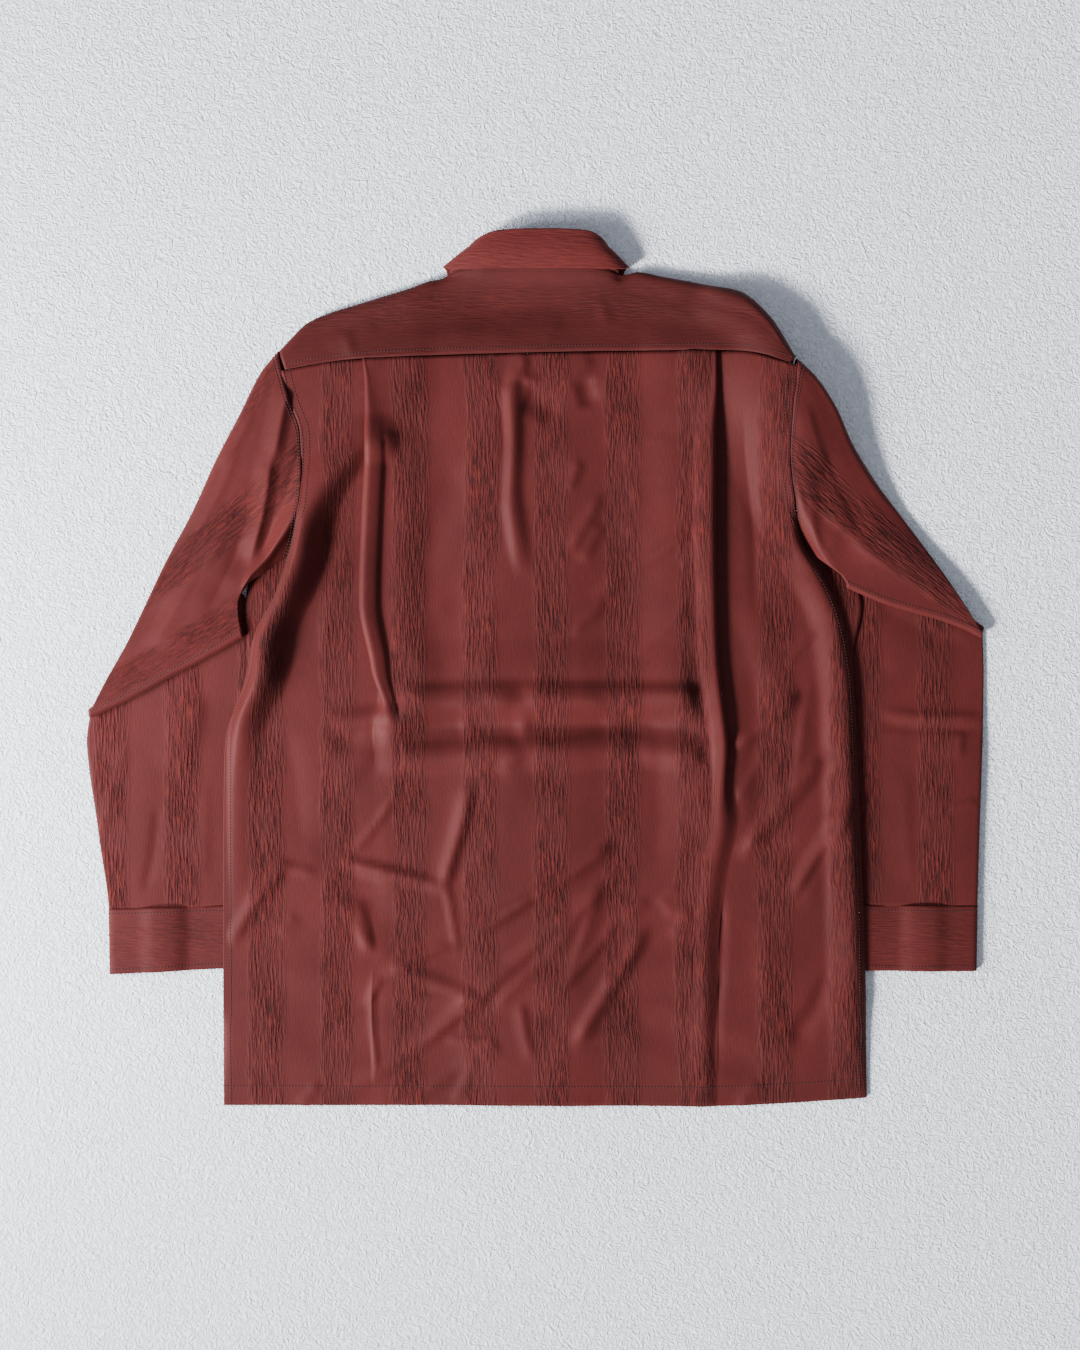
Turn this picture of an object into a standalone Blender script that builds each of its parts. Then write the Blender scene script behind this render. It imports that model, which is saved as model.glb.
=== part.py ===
"""Long-sleeve shirt laid face down on a flat surface, back up.

The shirt is cut and sewn from a back with two side pleats, a shoulder yoke, two
fronts, two sleeves with cuffs, and a collar on a stand. Both sleeves lie out from
the shoulders and are folded at the elbow, so that the forearms hang beside the
body with their inner edges under it. X runs across the shirt, Y up to the collar
and Z out of the back. Sizes and tables are in millimetres.
"""
import math
from collections import namedtuple

import bpy
import numpy as np

MM = 0.001
CLOTH = 1.2  # wall of a cloth piece
SEAM = 0.5  # space between two sewn edges
FLOOR = CLOTH / 2  # middle of a wall that rests on the surface
LAYER = CLOTH + 0.4  # from the middle of one wall to the next one on it

BUTTON_RADIUS = 5.2
BUTTON_THICK = 2.1
BUTTON_PITCH = 88.0
BUTTON_TOP = 268.0
BUTTON_COUNT = 7
OVERLAP = 13.0  # each front passes the middle by this

FOLD_RADIUS = 1.1  # middle of the wall round a flat pleat fold
ELBOW_RADIUS = 2.1  # middle of the flat sleeve round an elbow fold
SLEEVE_HALF = 1.05  # middle of a flat sleeve to the middle of its wall
CUFF_LIFT = 2.5  # a cuff lies on its button

Edge = namedtuple("Edge", "y x")
Line = namedtuple("Line", "x y")
Fold = namedtuple("Fold", "y x height left right")
Crease = namedtuple("Crease", "x0 y0 x1 y1 height width")
Pleat = namedtuple("Pleat", "y x overlap roll closed")
Ring = namedtuple("Ring", "at base_x base_y base_z roll_x roll_y roll_z edge_x edge_y edge_z")

# Side edges of the body from the shoulder down the armhole and side seam.
LEFT_EDGE = [
    Edge(294, -239), Edge(272, -234), Edge(250, -228), Edge(220, -218), Edge(175, -217),
    Edge(125, -224), Edge(103, -231), Edge(64, -244), Edge(35, -260), Edge(0, -268),
    Edge(-20, -272), Edge(-55, -286), Edge(-84, -289), Edge(-215, -290), Edge(-407, -290),
]
RIGHT_EDGE = [
    Edge(286, 244), Edge(237, 238), Edge(198, 236), Edge(163, 240), Edge(115, 251),
    Edge(87, 268), Edge(64, 280), Edge(43, 288), Edge(9, 295), Edge(-40, 299),
    Edge(-85, 301), Edge(-187, 305), Edge(-280, 308), Edge(-407, 310),
]
# Top fold of the shoulders, from the collar out to the armhole.
LEFT_SHOULDER = [
    Line(-239, 294), Line(-227, 307), Line(-209, 324), Line(-181, 334), Line(-153, 343),
    Line(-127, 351), Line(-110, 356), Line(-94, 362), Line(-81, 368),
]
RIGHT_SHOULDER = [
    Line(81, 372), Line(92, 370), Line(108, 367), Line(136, 362), Line(166, 356),
    Line(192, 350), Line(203, 344), Line(218, 327), Line(232, 306), Line(244, 286),
]
YOKE_SEAM = [
    Line(-234, 277), Line(-181, 286), Line(-130, 289), Line(-24, 293), Line(98, 295),
    Line(190, 294), Line(240, 281),
]
HEM = [Line(-290, -407), Line(-32, -407), Line(157, -408), Line(219, -406), Line(310, -400)]

# Swell of the upper layer over the whole width, by height up the shirt.
SWELL = [
    Line(-407, 2.4), Line(-390, 3.2), Line(-330, 5.4), Line(-100, 5.6), Line(90, 6.0),
    Line(200, 10.0), Line(285, 15.0), Line(325, 12.0), Line(372, 14.6), Line(400, 15.0),
]
# Standing fold from the left pleat down to the side seam.
STANDING_FOLD = [
    Fold(236, -146, 0, 40, 22), Fold(222, -153, 4, 42, 24), Fold(185, -186, 13, 40, 26),
    Fold(139, -213, 20, 26, 28), Fold(100, -221, 23, 16, 28), Fold(69, -232, 24, 12, 28),
    Fold(40, -247, 23, 12, 28), Fold(-11, -257, 20, 12, 28), Fold(-47, -272, 12, 12, 26),
    Fold(-85, -277, 5, 12, 26), Fold(-178, -279, 2, 11, 24), Fold(-330, -279, 0, 11, 24),
]
# Rise of the right shoulder and armhole.
SHOULDER_RISE = [
    Fold(372, 190, 0, 60, 60), Fold(340, 205, 7, 80, 60), Fold(300, 232, 13, 100, 60),
    Fold(240, 240, 17, 78, 70), Fold(180, 242, 14, 60, 70), Fold(130, 250, 9, 44, 50),
    Fold(90, 264, 5, 36, 40), Fold(40, 286, 0, 30, 40),
]
# Rolled side of the body over the right forearm.
SIDE_ROLL = [
    Fold(90, 258, 0, 26, 14), Fold(50, 276, 6, 26, 14), Fold(0, 286, 8, 26, 14),
    Fold(-85, 290, 9, 26, 14), Fold(-187, 293, 9, 26, 15), Fold(-280, 296, 7, 26, 16),
    Fold(-370, 297, 2, 26, 16), Fold(-407, 297, 0, 26, 16),
]
# Crushed fold down the middle below the yoke.
MIDDLE_FOLD = [
    Fold(290, -16, 1, 9, 13), Fold(262, -22, 4, 9, 13), Fold(215, -21, 5.5, 9, 13),
    Fold(170, -23, 5, 9, 14), Fold(120, -18, 4, 9, 16), Fold(85, -12, 0, 9, 16),
]
CREASES = [
    Crease(-185, -50, -125, -43, 4.5, 15), Crease(-125, -43, -32, -38, 6, 17),
    Crease(-32, -38, 61, -38, 6, 17), Crease(61, -38, 165, -46, 5, 15),
    Crease(-6, 252, 20, 240, -4, 18), Crease(46, 268, 52, 246, -3, 13),
    Crease(-130, -278, 5, -208, 3.6, 11), Crease(5, -208, 68, -166, 3.2, 10),
    Crease(-99, -343, 59, -206, 3.0, 10), Crease(41, -344, 100, -247, 3.2, 11),
    Crease(-178, -179, -99, -200, 2.4, 9), Crease(-60, -111, -84, -202, 2.6, 9),
    Crease(198, -168, 266, -86, 4.0, 13), Crease(241, -206, 288, -131, 3.2, 11),
    Crease(-236, -184, -282, -250, 2.4, 10), Crease(244, -345, 276, -288, -1.6, 13),
    Crease(60, 72, 150, 130, 2.4, 10), Crease(188, -71, 244, -27, 3.0, 12),
    Crease(-165, -220, -154, -260, 2.2, 9), Crease(-127, -279, -50, -308, 2.2, 9),
]
# Pleats: the fold edge of the middle panel, how far the cloth doubles back under
# it, the radius of its roll, and how far the pleat is closed.
LEFT_PLEAT = [
    Pleat(293, -159, 21, 1.4, 1), Pleat(262, -157, 20, 2.6, 1), Pleat(215, -157, 17, 4.3, 1),
    Pleat(150, -160, 14, 4.6, 1), Pleat(63, -163, 10, 4.6, 1), Pleat(2, -152, 7, 4.0, 1),
    Pleat(-49, -147, 6, 2.4, 0.5), Pleat(-95, -146, 6, 2.0, 0.1), Pleat(-140, -146, 6, 2.0, 0),
    Pleat(-410, -150, 6, 2.0, 0),
]
RIGHT_PLEAT = [
    Pleat(293, 168, 21, 1.4, 1), Pleat(262, 169, 20, 2.4, 1), Pleat(215, 168, 18, 4.6, 1),
    Pleat(150, 168, 15, 4.8, 1), Pleat(63, 169, 13, 4.4, 1), Pleat(8, 171, 11, 4.2, 1),
    Pleat(-60, 179, 8, 4.0, 1), Pleat(-137, 186, 6, 2.4, 0.5), Pleat(-190, 176, 6, 2.0, 0.25),
    Pleat(-260, 168, 6, 1.8, 0.2), Pleat(-410, 167, 6, 1.6, 0.15),
]
# Outer outline of each sleeve from shoulder to elbow, and the lines of its folds.
SLEEVE_OUTER = {
    "left": [Line(-239, 294), Line(-258, 270), Line(-267, 250), Line(-287, 213),
             Line(-305, 176), Line(-322, 139), Line(-343, 101), Line(-361, 64),
             Line(-378, 27), Line(-398, -10), Line(-415, -43)],
    "right": [Line(244, 286), Line(262, 269), Line(275, 250), Line(293, 213),
              Line(316, 176), Line(344, 139), Line(372, 101), Line(397, 64),
              Line(411, 42), Line(417, 32)],
}
SLEEVE_INNER = {
    "left": [Line(-233, 105), Line(-252, 91), Line(-270, 76), Line(-276, 58), Line(-272, 33)],
    "right": [Line(253, 114), Line(264, 104), Line(277, 94), Line(286, 87), Line(291, 79)],
}
TOP_FOLD = {
    "left": [Line(-415, -43), Line(-358, -15), Line(-334, -1), Line(-299, 17), Line(-272, 33)],
    "right": [Line(417, 32), Line(392, 44), Line(359, 54), Line(326, 64), Line(291, 79)],
}
UNDER_FOLD = {
    "left": [Line(-415, -41), Line(-345, 16), Line(-274, 72)],
    "right": [Line(418, 36), Line(350, 84), Line(290, 118)],
}
FOREARM_OUTER = {
    "left": [Line(-415, -41), Line(-418, -62), Line(-416, -90), Line(-411, -122),
             Line(-406, -159), Line(-400, -196), Line(-397, -222)],
    "right": [Line(418, 36), Line(419, 4), Line(418, -66), Line(416, -120), Line(413, -219)],
}
FOREARM_INNER = {
    "left": [Line(-274, 72), Line(-263, 28), Line(-263, -60), Line(-273, -219)],
    "right": [Line(290, 118), Line(289, 40), Line(289, -60), Line(293, -219)],
}
CUFF_OUTER = {"left": [Line(-397, -223), Line(-396, -284)], "right": [Line(413, -220), Line(412, -281)]}
CUFF_INNER = {"left": [Line(-273, -220), Line(-274, -278)], "right": [Line(293, -220), Line(293, -281)]}
ARMHOLE_END = {"left": 105.0, "right": 114.0}

# Collar, by distance from centre back (0) to centre front (1): the neckline seam,
# the roll line along the top of the stand, and the outer edge of the leaf.
COLLAR = [
    Ring(0.00, 0, 373, 15.5, 0, 405.5, 21.0, 0, 371, 20.6),
    Ring(0.15, 30, 373, 15.2, 26, 405, 20.8, 32, 371, 20.2),
    Ring(0.30, 58, 372.5, 14.2, 47, 402.5, 19.0, 62, 370.5, 18.6),
    Ring(0.42, 73, 371, 11.6, 59, 395, 14.6, 81, 371.5, 14.4),
    Ring(0.50, 78.5, 369, 8.2, 64, 389, 9.2, 86.5, 374, 8.4),
    Ring(0.58, 76, 364, 4.6, 62, 383, 4.8, 84, 373, 1.2),
    Ring(0.70, 62, 350, 3.2, 51, 374, 3.2, 78, 345, 0.7),
    Ring(0.85, 34, 317, 3.2, 28, 345, 3.2, 66, 285, 0.7),
    Ring(1.00, 0, 293, 3.2, 0, 322, 3.2, 30, 246, 0.7),
]
COLLAR_LEAN = {"base": 0.0, "roll": 9.0, "edge": 4.0}  # how far the collar leans over
LEAF_END = 0.955
COLLAR_LIFT = 2.6  # the fronts lie on the leaf's points
PLACKET_LIFT = 2.7  # the fronts lie on the buttons
FOREARM_LIFT = 4.1  # the body's sides lie on the forearms

CLOTH_RED = (0.225, 0.047, 0.042, 1)
BUTTON_RED = (0.12, 0.026, 0.024, 1)


def column(rows, name):
    return np.array([getattr(row, name) for row in rows], float)


def through(at, knots, values):
    """A smooth curve through the knots, level beyond both ends."""
    at, knots, values = (np.asarray(v, float) for v in (at, knots, values))
    if knots[0] > knots[-1]:
        knots, values = knots[::-1], values[::-1]
    steps = np.diff(values) / np.diff(knots)
    slopes = np.gradient(values, knots)
    turns = steps[:-1] * steps[1:] <= 0
    most = 3 * np.minimum(np.abs(steps[:-1]), np.abs(steps[1:]))
    slopes[1:-1] = np.where(turns, 0, np.clip(slopes[1:-1], -most, most))
    at = np.clip(at, knots[0], knots[-1])
    i = np.clip(np.searchsorted(knots, at, side="right") - 1, 0, len(knots) - 2)
    span = knots[i + 1] - knots[i]
    t = (at - knots[i]) / span
    ease = t * t * (3 - 2 * t)
    start = t * (1 - t) ** 2
    stop = t * t * (1 - t)
    level = values[i] * (1 - ease) + values[i + 1] * ease
    return level + span * (start * slopes[i] - stop * slopes[i + 1])


def by_y(rows, name, y):
    return through(y, column(rows, "y"), column(rows, name))


def by_x(rows, x):
    return through(x, column(rows, "x"), column(rows, "y"))


def smooth(t):
    t = np.clip(t, 0, 1)
    return t * t * (3 - 2 * t)


def hump(t):
    """1 in the middle, falling smoothly to 0 at t = -1 and 1."""
    return np.clip(1 - t * t, 0, 1) ** 2


def ridge(x, y, rows):
    off = x - by_y(rows, "x", y)
    wide = np.where(off < 0, by_y(rows, "left", y), by_y(rows, "right", y))
    height = np.clip(by_y(rows, "height", y), 0, None)
    return height * hump(off / wide)


def crease(x, y, c):
    run = np.array([c.x1 - c.x0, c.y1 - c.y0])
    length = np.hypot(*run)
    dx, dy = x - c.x0, y - c.y0
    along = (dx * run[0] + dy * run[1]) / length**2
    across = (dy * run[0] - dx * run[1]) / length
    ends = hump(np.clip(np.abs(along - 0.5) - 0.35, 0, None) / 0.3)
    return c.height * hump(across / c.width) * ends


def lapped(x):
    """Share of the step where one front or stand end lies on the other."""
    return smooth((45 - x) / 22)


def side_edges(y):
    return by_y(LEFT_EDGE, "x", y), by_y(RIGHT_EDGE, "x", y)


def front_height(x, y):
    """Middle of the lowest layer: on the surface, or on what lies under it."""
    left, right = side_edges(y)
    inward = np.minimum(x - left, right - x)
    forearm = FOREARM_LIFT * smooth((48 - inward) / 24) * smooth((112 - y) / 60)
    forearm = forearm * smooth((y + 343) / 36)
    placket = PLACKET_LIFT * smooth((75 - np.abs(x)) / 50)
    points = COLLAR_LIFT * smooth((135 - np.abs(x)) / 35) * smooth((y - 205) / 30)
    return FLOOR + np.maximum(np.maximum(forearm, placket), points)


def back_height(x, y):
    """Middle of the upper layer, away from the pleats."""
    x, y = np.broadcast_arrays(np.asarray(x, float), np.asarray(y, float))
    z = through(y, column(SWELL, "x"), column(SWELL, "y"))
    z = z + 3.4 * smooth((85 - np.abs(x)) / 60) * smooth((250 - y) / 60)
    for rows in (STANDING_FOLD, SHOULDER_RISE, SIDE_ROLL, MIDDLE_FOLD):
        z = z + ridge(x, y, rows)
    for row in CREASES:
        z = z + crease(x, y, row)
    left, right = side_edges(y)
    drop_left, drop_right = smooth((150 - y) / 45), smooth((160 - y) / 46)
    seam = front_height(x, y) + LAYER
    for inward, drop in ((x - left, drop_left), (right - x, drop_right)):
        rise = np.sqrt(np.clip(1 - (1 - np.clip(inward / 9, 0, 1)) ** 2, 0, 1))
        lowered = seam + (z - seam) * rise
        z = z + (lowered - z) * drop
    return np.maximum(z, seam + LAYER * smooth((62 - np.abs(x)) / 14))


def material(name, colour, roughness):
    made = bpy.data.materials.new(name)
    made.use_nodes = True
    shader = made.node_tree.nodes["Principled BSDF"]
    shader.inputs["Base Color"].default_value = colour
    shader.inputs["Roughness"].default_value = roughness
    shader.inputs["Metallic"].default_value = 0
    made.diffuse_color = colour
    return made


def sheet(name, points, closed=False, wall=CLOTH):
    """A cloth piece: a grid of points (rows, columns, 3), with its wall by Solidify."""
    rows, columns = points.shape[:2]
    faces = []
    for r in range(rows - 1):
        for c in range(columns if closed else columns - 1):
            n = (c + 1) % columns
            a, b, d, e = r * columns + c, r * columns + n, (r + 1) * columns + n, (r + 1) * columns + c
            lower_wall = closed and c >= columns // 2
            faces += [(a, b, e), (b, d, e)] if lower_wall else [(a, b, d), (a, d, e)]
    mesh = bpy.data.meshes.new(name)
    mesh.from_pydata((points.reshape(-1, 3) * MM).tolist(), [], faces)
    mesh.shade_smooth()
    piece = bpy.data.objects.new(name, mesh)
    mesh.materials.append(material(name, CLOTH_RED, 0.62))
    thick = piece.modifiers.new("wall", "SOLIDIFY")
    thick.thickness = wall * MM
    thick.offset = 0
    garment.objects.link(piece)
    return piece


def pleat_curve(overlap, roll, closed, level):
    """Half of the section through a pleat, from the side panel to the middle panel.

    The first column runs in from the fold edge, the second up from the side panel,
    and the third says how far the point keeps the level of the fold edge.
    """
    r, quarter = FOLD_RADIUS, math.pi / 2
    overlap = max(overlap, roll + 1.5)
    points = [(-5.0, 0.0, 0.0), (overlap * 0.5, 0.0, 1.0), (overlap, 0.0, 1.0)]
    for k in range(1, 4):
        a = -quarter + math.pi * k / 3
        points.append((overlap + r * math.cos(a), r + r * math.sin(a), 1.0))
    for k in range(5):
        a = -quarter - math.pi * k / 4
        points.append((roll + roll * math.cos(a), 2 * r + roll + roll * math.sin(a), 1.0))
    top = 2 * r + 2 * roll
    low = level + 0.2 * (top - level)
    points += [(roll * 2.0, top * 0.92, 1.0), (roll * 3.2, (top + low) / 2, 1.0)]
    foot = max(roll * 4.6, overlap + 2)
    points += [(foot, low if foot < overlap + 3 else level, 1.0), (foot + 14, level, 0.0)]
    folded = np.array(points)
    run = np.linspace(0, 1, len(points))
    open_x = folded[0, 0] + (folded[-1, 0] - folded[0, 0]) * run
    unfold, lower = min(max(2 * closed - 1, 0), 1), min(max(2 * closed, 0), 1)
    folded[:, 0] = open_x + (folded[:, 0] - open_x) * unfold
    ramp = top * smooth(run / 0.6) * (1 - (1 - level / top) * smooth((run - 0.6) / 0.4))
    folded[:, 1] = ramp + (folded[:, 1] - ramp) * unfold
    soft = 2.2 * hump((run - 0.5) * 2)
    folded[:, 1] = soft + (folded[:, 1] - soft) * lower
    return folded


# Shares of the middle panel between the pleats, closer together at its crushed fold.
MIDDLE_SHARES = np.array([0.14, 0.3, 0.4, 0.445, 0.485, 0.54, 0.64, 0.82])
# Heights up the shirt of the rows of the back; the armhole's are shared by all its seams.
UPPER_ROWS = [293, 283]
ARMHOLE_ROWS = [270, 250, 226, 200, 170, 145, 122, 105]
LOWER_ROWS = [86, 60, 32, 4, -24, -44, -64, -96, -138, -190, -250, -306, -334, -370, -407]


def pleat_at(rows, y):
    return [float(by_y(rows, name, y)) for name in ("x", "overlap", "roll", "closed")]


def back_row(y):
    """Section across the back at one height: x, and z above the body's level."""
    drop = float(smooth((y - 268) / 25))
    left = float(by_y(LEFT_EDGE, "x", y + (YOKE_SEAM[0].y - 293) * drop))
    right = float(by_y(RIGHT_EDGE, "x", y + (YOKE_SEAM[-1].y - 293) * drop))
    lx, l_over, l_roll, l_closed = pleat_at(LEFT_PLEAT, y)
    rx, r_over, r_roll, r_closed = pleat_at(RIGHT_PLEAT, y)
    level = 4 * FOLD_RADIUS
    crest = max(float(by_y(STANDING_FOLD, "x", y)), left + 9)
    crest = min(crest, left + 34, lx - 45)
    x = [left + (crest - left) * t for t in (0, 0.13, 0.5, 1)]
    x += [crest + t for t in (10, 26)]
    x += list(np.linspace(crest + 26, lx - 5, 4)[1:-1])
    z = [0.0] * len(x)
    keep = [0.0] * len(x)
    curve = pleat_curve(l_over, l_roll, l_closed, level)
    x += list(lx + curve[:, 0])
    z += list(curve[:, 1])
    keep += list(curve[:, 2])
    other = pleat_curve(r_over, r_roll, r_closed, level)[::-1]
    start, stop = lx + curve[-1, 0], rx - other[0, 0]
    middle = start + (stop - start) * MIDDLE_SHARES
    x += list(middle)
    lift_left = curve[-1, 1] * smooth((start + 35 - middle) / 35)
    lift_right = other[0, 1] * smooth((middle - stop + 35) / 35)
    z += list(lift_left + lift_right)
    keep += [0.0] * len(middle)
    x += list(rx - other[:, 0])
    z += list(other[:, 1])
    keep += list(-other[:, 2])
    x += list(np.linspace(rx + 5, right - 26, 4)[1:])
    x += [right - t for t in (13, 5, 1, 0)]
    z += [0.0] * 7
    keep += [0.0] * 7
    return np.array(x), np.array(z), np.array(keep)


def back():
    rows = []
    for y in UPPER_ROWS + ARMHOLE_ROWS + LOWER_ROWS:
        x, lift, keep = back_row(y)
        near_top, near_hem = smooth((y - 268) / 25), smooth((-330 - y) / 77)
        seam = np.interp(x, *yoke_feet()) - SEAM - 293
        y_at = y + seam * near_top + (by_x(HEM, x) + 407) * near_hem
        level = back_height(x, y_at)
        for way, pleat in ((1, LEFT_PLEAT), (-1, RIGHT_PLEAT)):
            edge = back_height(pleat_at(pleat, y)[0], y)
            level = level + (edge - level) * np.clip(keep * way, 0, 1)
        rows.append(np.column_stack([x, y_at, level + lift]))
    return sheet("back", np.array(rows))


def collar_point(at, part):
    """A point of the left half of the collar: part is base, roll or edge."""
    knots = column(COLLAR, "at")
    return np.array([through(at, knots, column(COLLAR, f"{part}_{axis}")) for axis in "xyz"])


FOOT_SHARE = 0.975
YOKE_SHARES = [0, 0.07, 0.18, 0.34, 0.52, 0.7, 0.86, 1]  # from the armhole to the neck
LOWER_FRONT_ROWS = [-407, -370, -334, -306, -250, -138, -44, 4, 60, 86]
YOKE_CORNER = [(0.64, 0.9, 93), (0.57, 0.6, 92), (0.50, 0.0, 85)]
YOKE_NECK = [0.42, 0.30, 0.15]
NECK_STATIONS = [
    0, 0.075, 0.15, 0.225, 0.30, 0.36, 0.42, 0.46, 0.50, 0.535, 0.57, 0.605,
    0.64, 0.70, 0.76, 0.82, 0.88, 0.94, 1.0,
]


def pleat_step(x):
    """How far the folded pleats lift the middle panel at the yoke's seam."""
    inward = min(x - LEFT_PLEAT[0].x, RIGHT_PLEAT[0].x - x)
    return 4 * FOLD_RADIUS * float(smooth((inward + 6) / 8) * smooth((72 - inward) / 35))


def yoke_column(side, foot_x, end, outer, share):
    """One strip of the yoke from the back seam over the shoulder to the front."""
    shoulder = LEFT_SHOULDER if side < 0 else RIGHT_SHOULDER
    foot = np.array([foot_x, float(by_x(YOKE_SEAM, foot_x)) + SEAM * 0.5])
    tip = np.array([outer, float(by_x(shoulder, outer))])
    low = float(front_height(outer, tip[1] - 12))
    near = end[:2] + (foot - end[:2]) * (1.6 / np.linalg.norm(foot - end[:2]))
    turn = near + (tip - near) * share
    depth = np.linalg.norm(foot - turn)
    start = turn + (foot - turn) * (min(8, 0.45 * depth) / depth)
    top = float(back_height(*start))
    round_z = low + min((top - low) * 0.5, 6.5)
    line = []
    for t in (0, 0.25, 0.5, 0.75, 1):
        x, y = foot + (start - foot) * t
        line.append(np.array([x, y, back_height(x, y) + pleat_step(x) * (1 - t) ** 2]))
    near_z = end[2] + (top - end[2]) * 0.25
    turn_z = near_z + (round_z - near_z) * share
    shallow = start + (turn - start) * (0.75 if share else 0.5)
    line.append(np.append(shallow, top + (turn_z - top) * (0.35 if share else 0.5)))
    line.append(np.append(turn, turn_z))
    under = turn + (end[:2] - turn) * 0.16
    under_z = low + (turn_z - low) * 0.25
    line.append(np.append(under, turn_z + (under_z - turn_z) * share + (end[2] - turn_z) * 0.4 * (1 - share)))
    inside = turn + (end[:2] - turn) * 0.42
    line.append(np.append(inside, end[2] + (near_z - end[2]) * 0.2 * (1 - share)))
    line.append(end)
    return line


def yoke_feet():
    """The yoke's edge at the back seam, where its strips start."""
    right = [0.0] + [collar_point(at, "base")[0] * 1.02 for at in YOKE_NECK[::-1]]
    right += [outer * 0.96 for _, _, outer in YOKE_CORNER[::-1]]
    left = [-x for x in right[:0:-1]]
    left = [outer * FOOT_SHARE for outer in shoulder_columns(-1)] + left
    right += [outer * FOOT_SHARE for outer in shoulder_columns(1)[::-1]]
    x = np.array(left + right)
    return x, by_x(YOKE_SEAM, x)


def shoulder_columns(side):
    """Where the strips of the yoke cross the shoulder fold, from the armhole in."""
    start, stop = (-237.5, -96) if side < 0 else (242.0, 96)
    return [start + (stop - start) * share for share in YOKE_SHARES]


def front_seam(outer, side):
    """End of the yoke under the shoulder, where the front is sewn on."""
    shoulder = LEFT_SHOULDER if side < 0 else RIGHT_SHOULDER
    y = float(by_x(shoulder, outer)) - 21
    x = outer * 0.985
    return np.array([x, y, float(front_height(x, y))])


def yoke():
    """Shoulder yoke: a strip over both shoulders with the back neckline cut in it."""
    strips = {}
    for side in (-1, 1):
        half = []
        for outer in shoulder_columns(side):
            half.append(yoke_column(side, outer * FOOT_SHARE, front_seam(outer, side), outer, 1.0))
        for at, share, outer in YOKE_CORNER:
            end = collar_point(at, "base") * [side, 1, 1]
            end += [side * 1.1, -0.9, 0]
            half.append(yoke_column(side, side * outer * 0.96, end, side * outer, share))
        for at in YOKE_NECK:
            end = collar_point(at, "base") * [side, 1, 1] - [0, SEAM, 0]
            half.append(yoke_column(side, end[0] * 1.02, end, side * 84.0, 0.0))
        strips[side] = half
    middle = yoke_column(-1, 0.0, collar_point(0, "base") - [0, SEAM, 0], -84.0, 0.0)
    order = strips[-1] + [middle] + strips[1][::-1]
    return sheet("yoke", np.array(order).transpose(1, 0, 2))


def front(name, side, lift):
    """One front, from the side seam to past the middle, under everything else."""
    edge = LEFT_EDGE if side < 0 else RIGHT_EDGE
    outers = shoulder_columns(side)
    top = [front_seam(outer, side) for outer in outers]
    for at in NECK_STATIONS[-7:]:
        top.append(collar_point(at, "base") * [side, 1, 1])
    top.append(top[-1] + [-side * OVERLAP, 0, 0])
    top = np.array(top)[:, :2] - [side * SEAM, 2 * SEAM]
    edge_x, stop_x = top[0, 0], top[-1, 0]
    shares = (top[:, 0] - edge_x) / (stop_x - edge_x)
    rows = []
    for y_row in LOWER_FRONT_ROWS + ARMHOLE_ROWS[:2:-1]:
        x_edge = float(by_y(edge, "x", y_row))
        x = x_edge + (stop_x - x_edge) * shares
        hem = (by_x(HEM, x) + 407) * smooth((-330 - y_row) / 77)
        rows.append(np.column_stack([x, y_row + hem]))
    last = rows[-1]
    side_rows = [y for y in ARMHOLE_ROWS[2::-1] if y < top[0, 1] - 2] + [top[0, 1]]
    for y_row in side_rows:
        t = (y_row - last[0, 1]) / (top[0, 1] - last[0, 1])
        x_edge = float(by_y(edge, "x", y_row))
        x = x_edge + (stop_x - x_edge) * shares
        x = x + (top[:, 0] - x) * t**2
        x[0] = x_edge if t < 1 else edge_x
        rows.append(np.column_stack([x, last[:, 1] + (top[:, 1] - last[:, 1]) * t]))
    grid = []
    for row in rows:
        z = front_height(row[:, 0], row[:, 1]) + lift * lapped(side * row[:, 0])
        grid.append(np.column_stack([row, z]))
    return sheet(name, np.array(grid))


def line_at(rows, share):
    x, y = column(rows, "x"), column(rows, "y")
    run = np.concatenate([[0], np.cumsum(np.hypot(np.diff(x), np.diff(y)))])
    at = np.asarray(share) * run[-1]
    return np.column_stack([through(at, run, x), through(at, run, y)])


ACROSS = np.array([0, 0.006, 0.018, 0.05, 0.14, 0.32, 0.52, 0.72, 0.87, 0.94, 0.974, 0.99, 1])


def patch(start, stop, outer, inner, t):
    """A line across a four-sided patch, at share t from start to stop."""
    out, inn = line_at(outer, [t])[0], line_at(inner, [t])[0]
    out0, out1 = line_at(outer, [0])[0], line_at(outer, [1])[0]
    in0, in1 = line_at(inner, [0])[0], line_at(inner, [1])[0]
    w = ACROSS[:, None]
    plain = start * (1 - t) + stop * t
    bend_out = out - (out0 * (1 - t) + out1 * t)
    bend_in = inn - (in0 * (1 - t) + in1 * t)
    return plain + (1 - w) * bend_out + w * bend_in


def tube_ring(plan, low, high, round_out, round_in):
    """Section of a flat tube: middle line, half height and normals for each point.

    low and high are the heights of the lower and upper wall away from the edges.
    """
    step = np.hypot(*np.diff(plan, axis=0).T)
    run = np.concatenate([[0], np.cumsum(step)])
    from_out, from_in = run, run[-1] - run
    tall = (high - low) / 2
    grow = np.ones(len(run))
    tall = np.broadcast_to(tall, run.shape)
    for distance, radius, near in ((from_out, round_out, tall[3]), (from_in, round_in, tall[-4])):
        t = np.clip(distance / max(min(radius, near), SLEEVE_HALF), 0, 1)
        grow = np.minimum(grow, np.sqrt(np.clip(1 - (1 - t) ** 2, 0, 1)))
    half = tall * grow
    return half


def ring_points(centre, normal, half):
    upper = centre + normal * half[:, None]
    lower = centre - normal * half[:, None]
    return np.vstack([upper, lower[-2:0:-1]])


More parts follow.
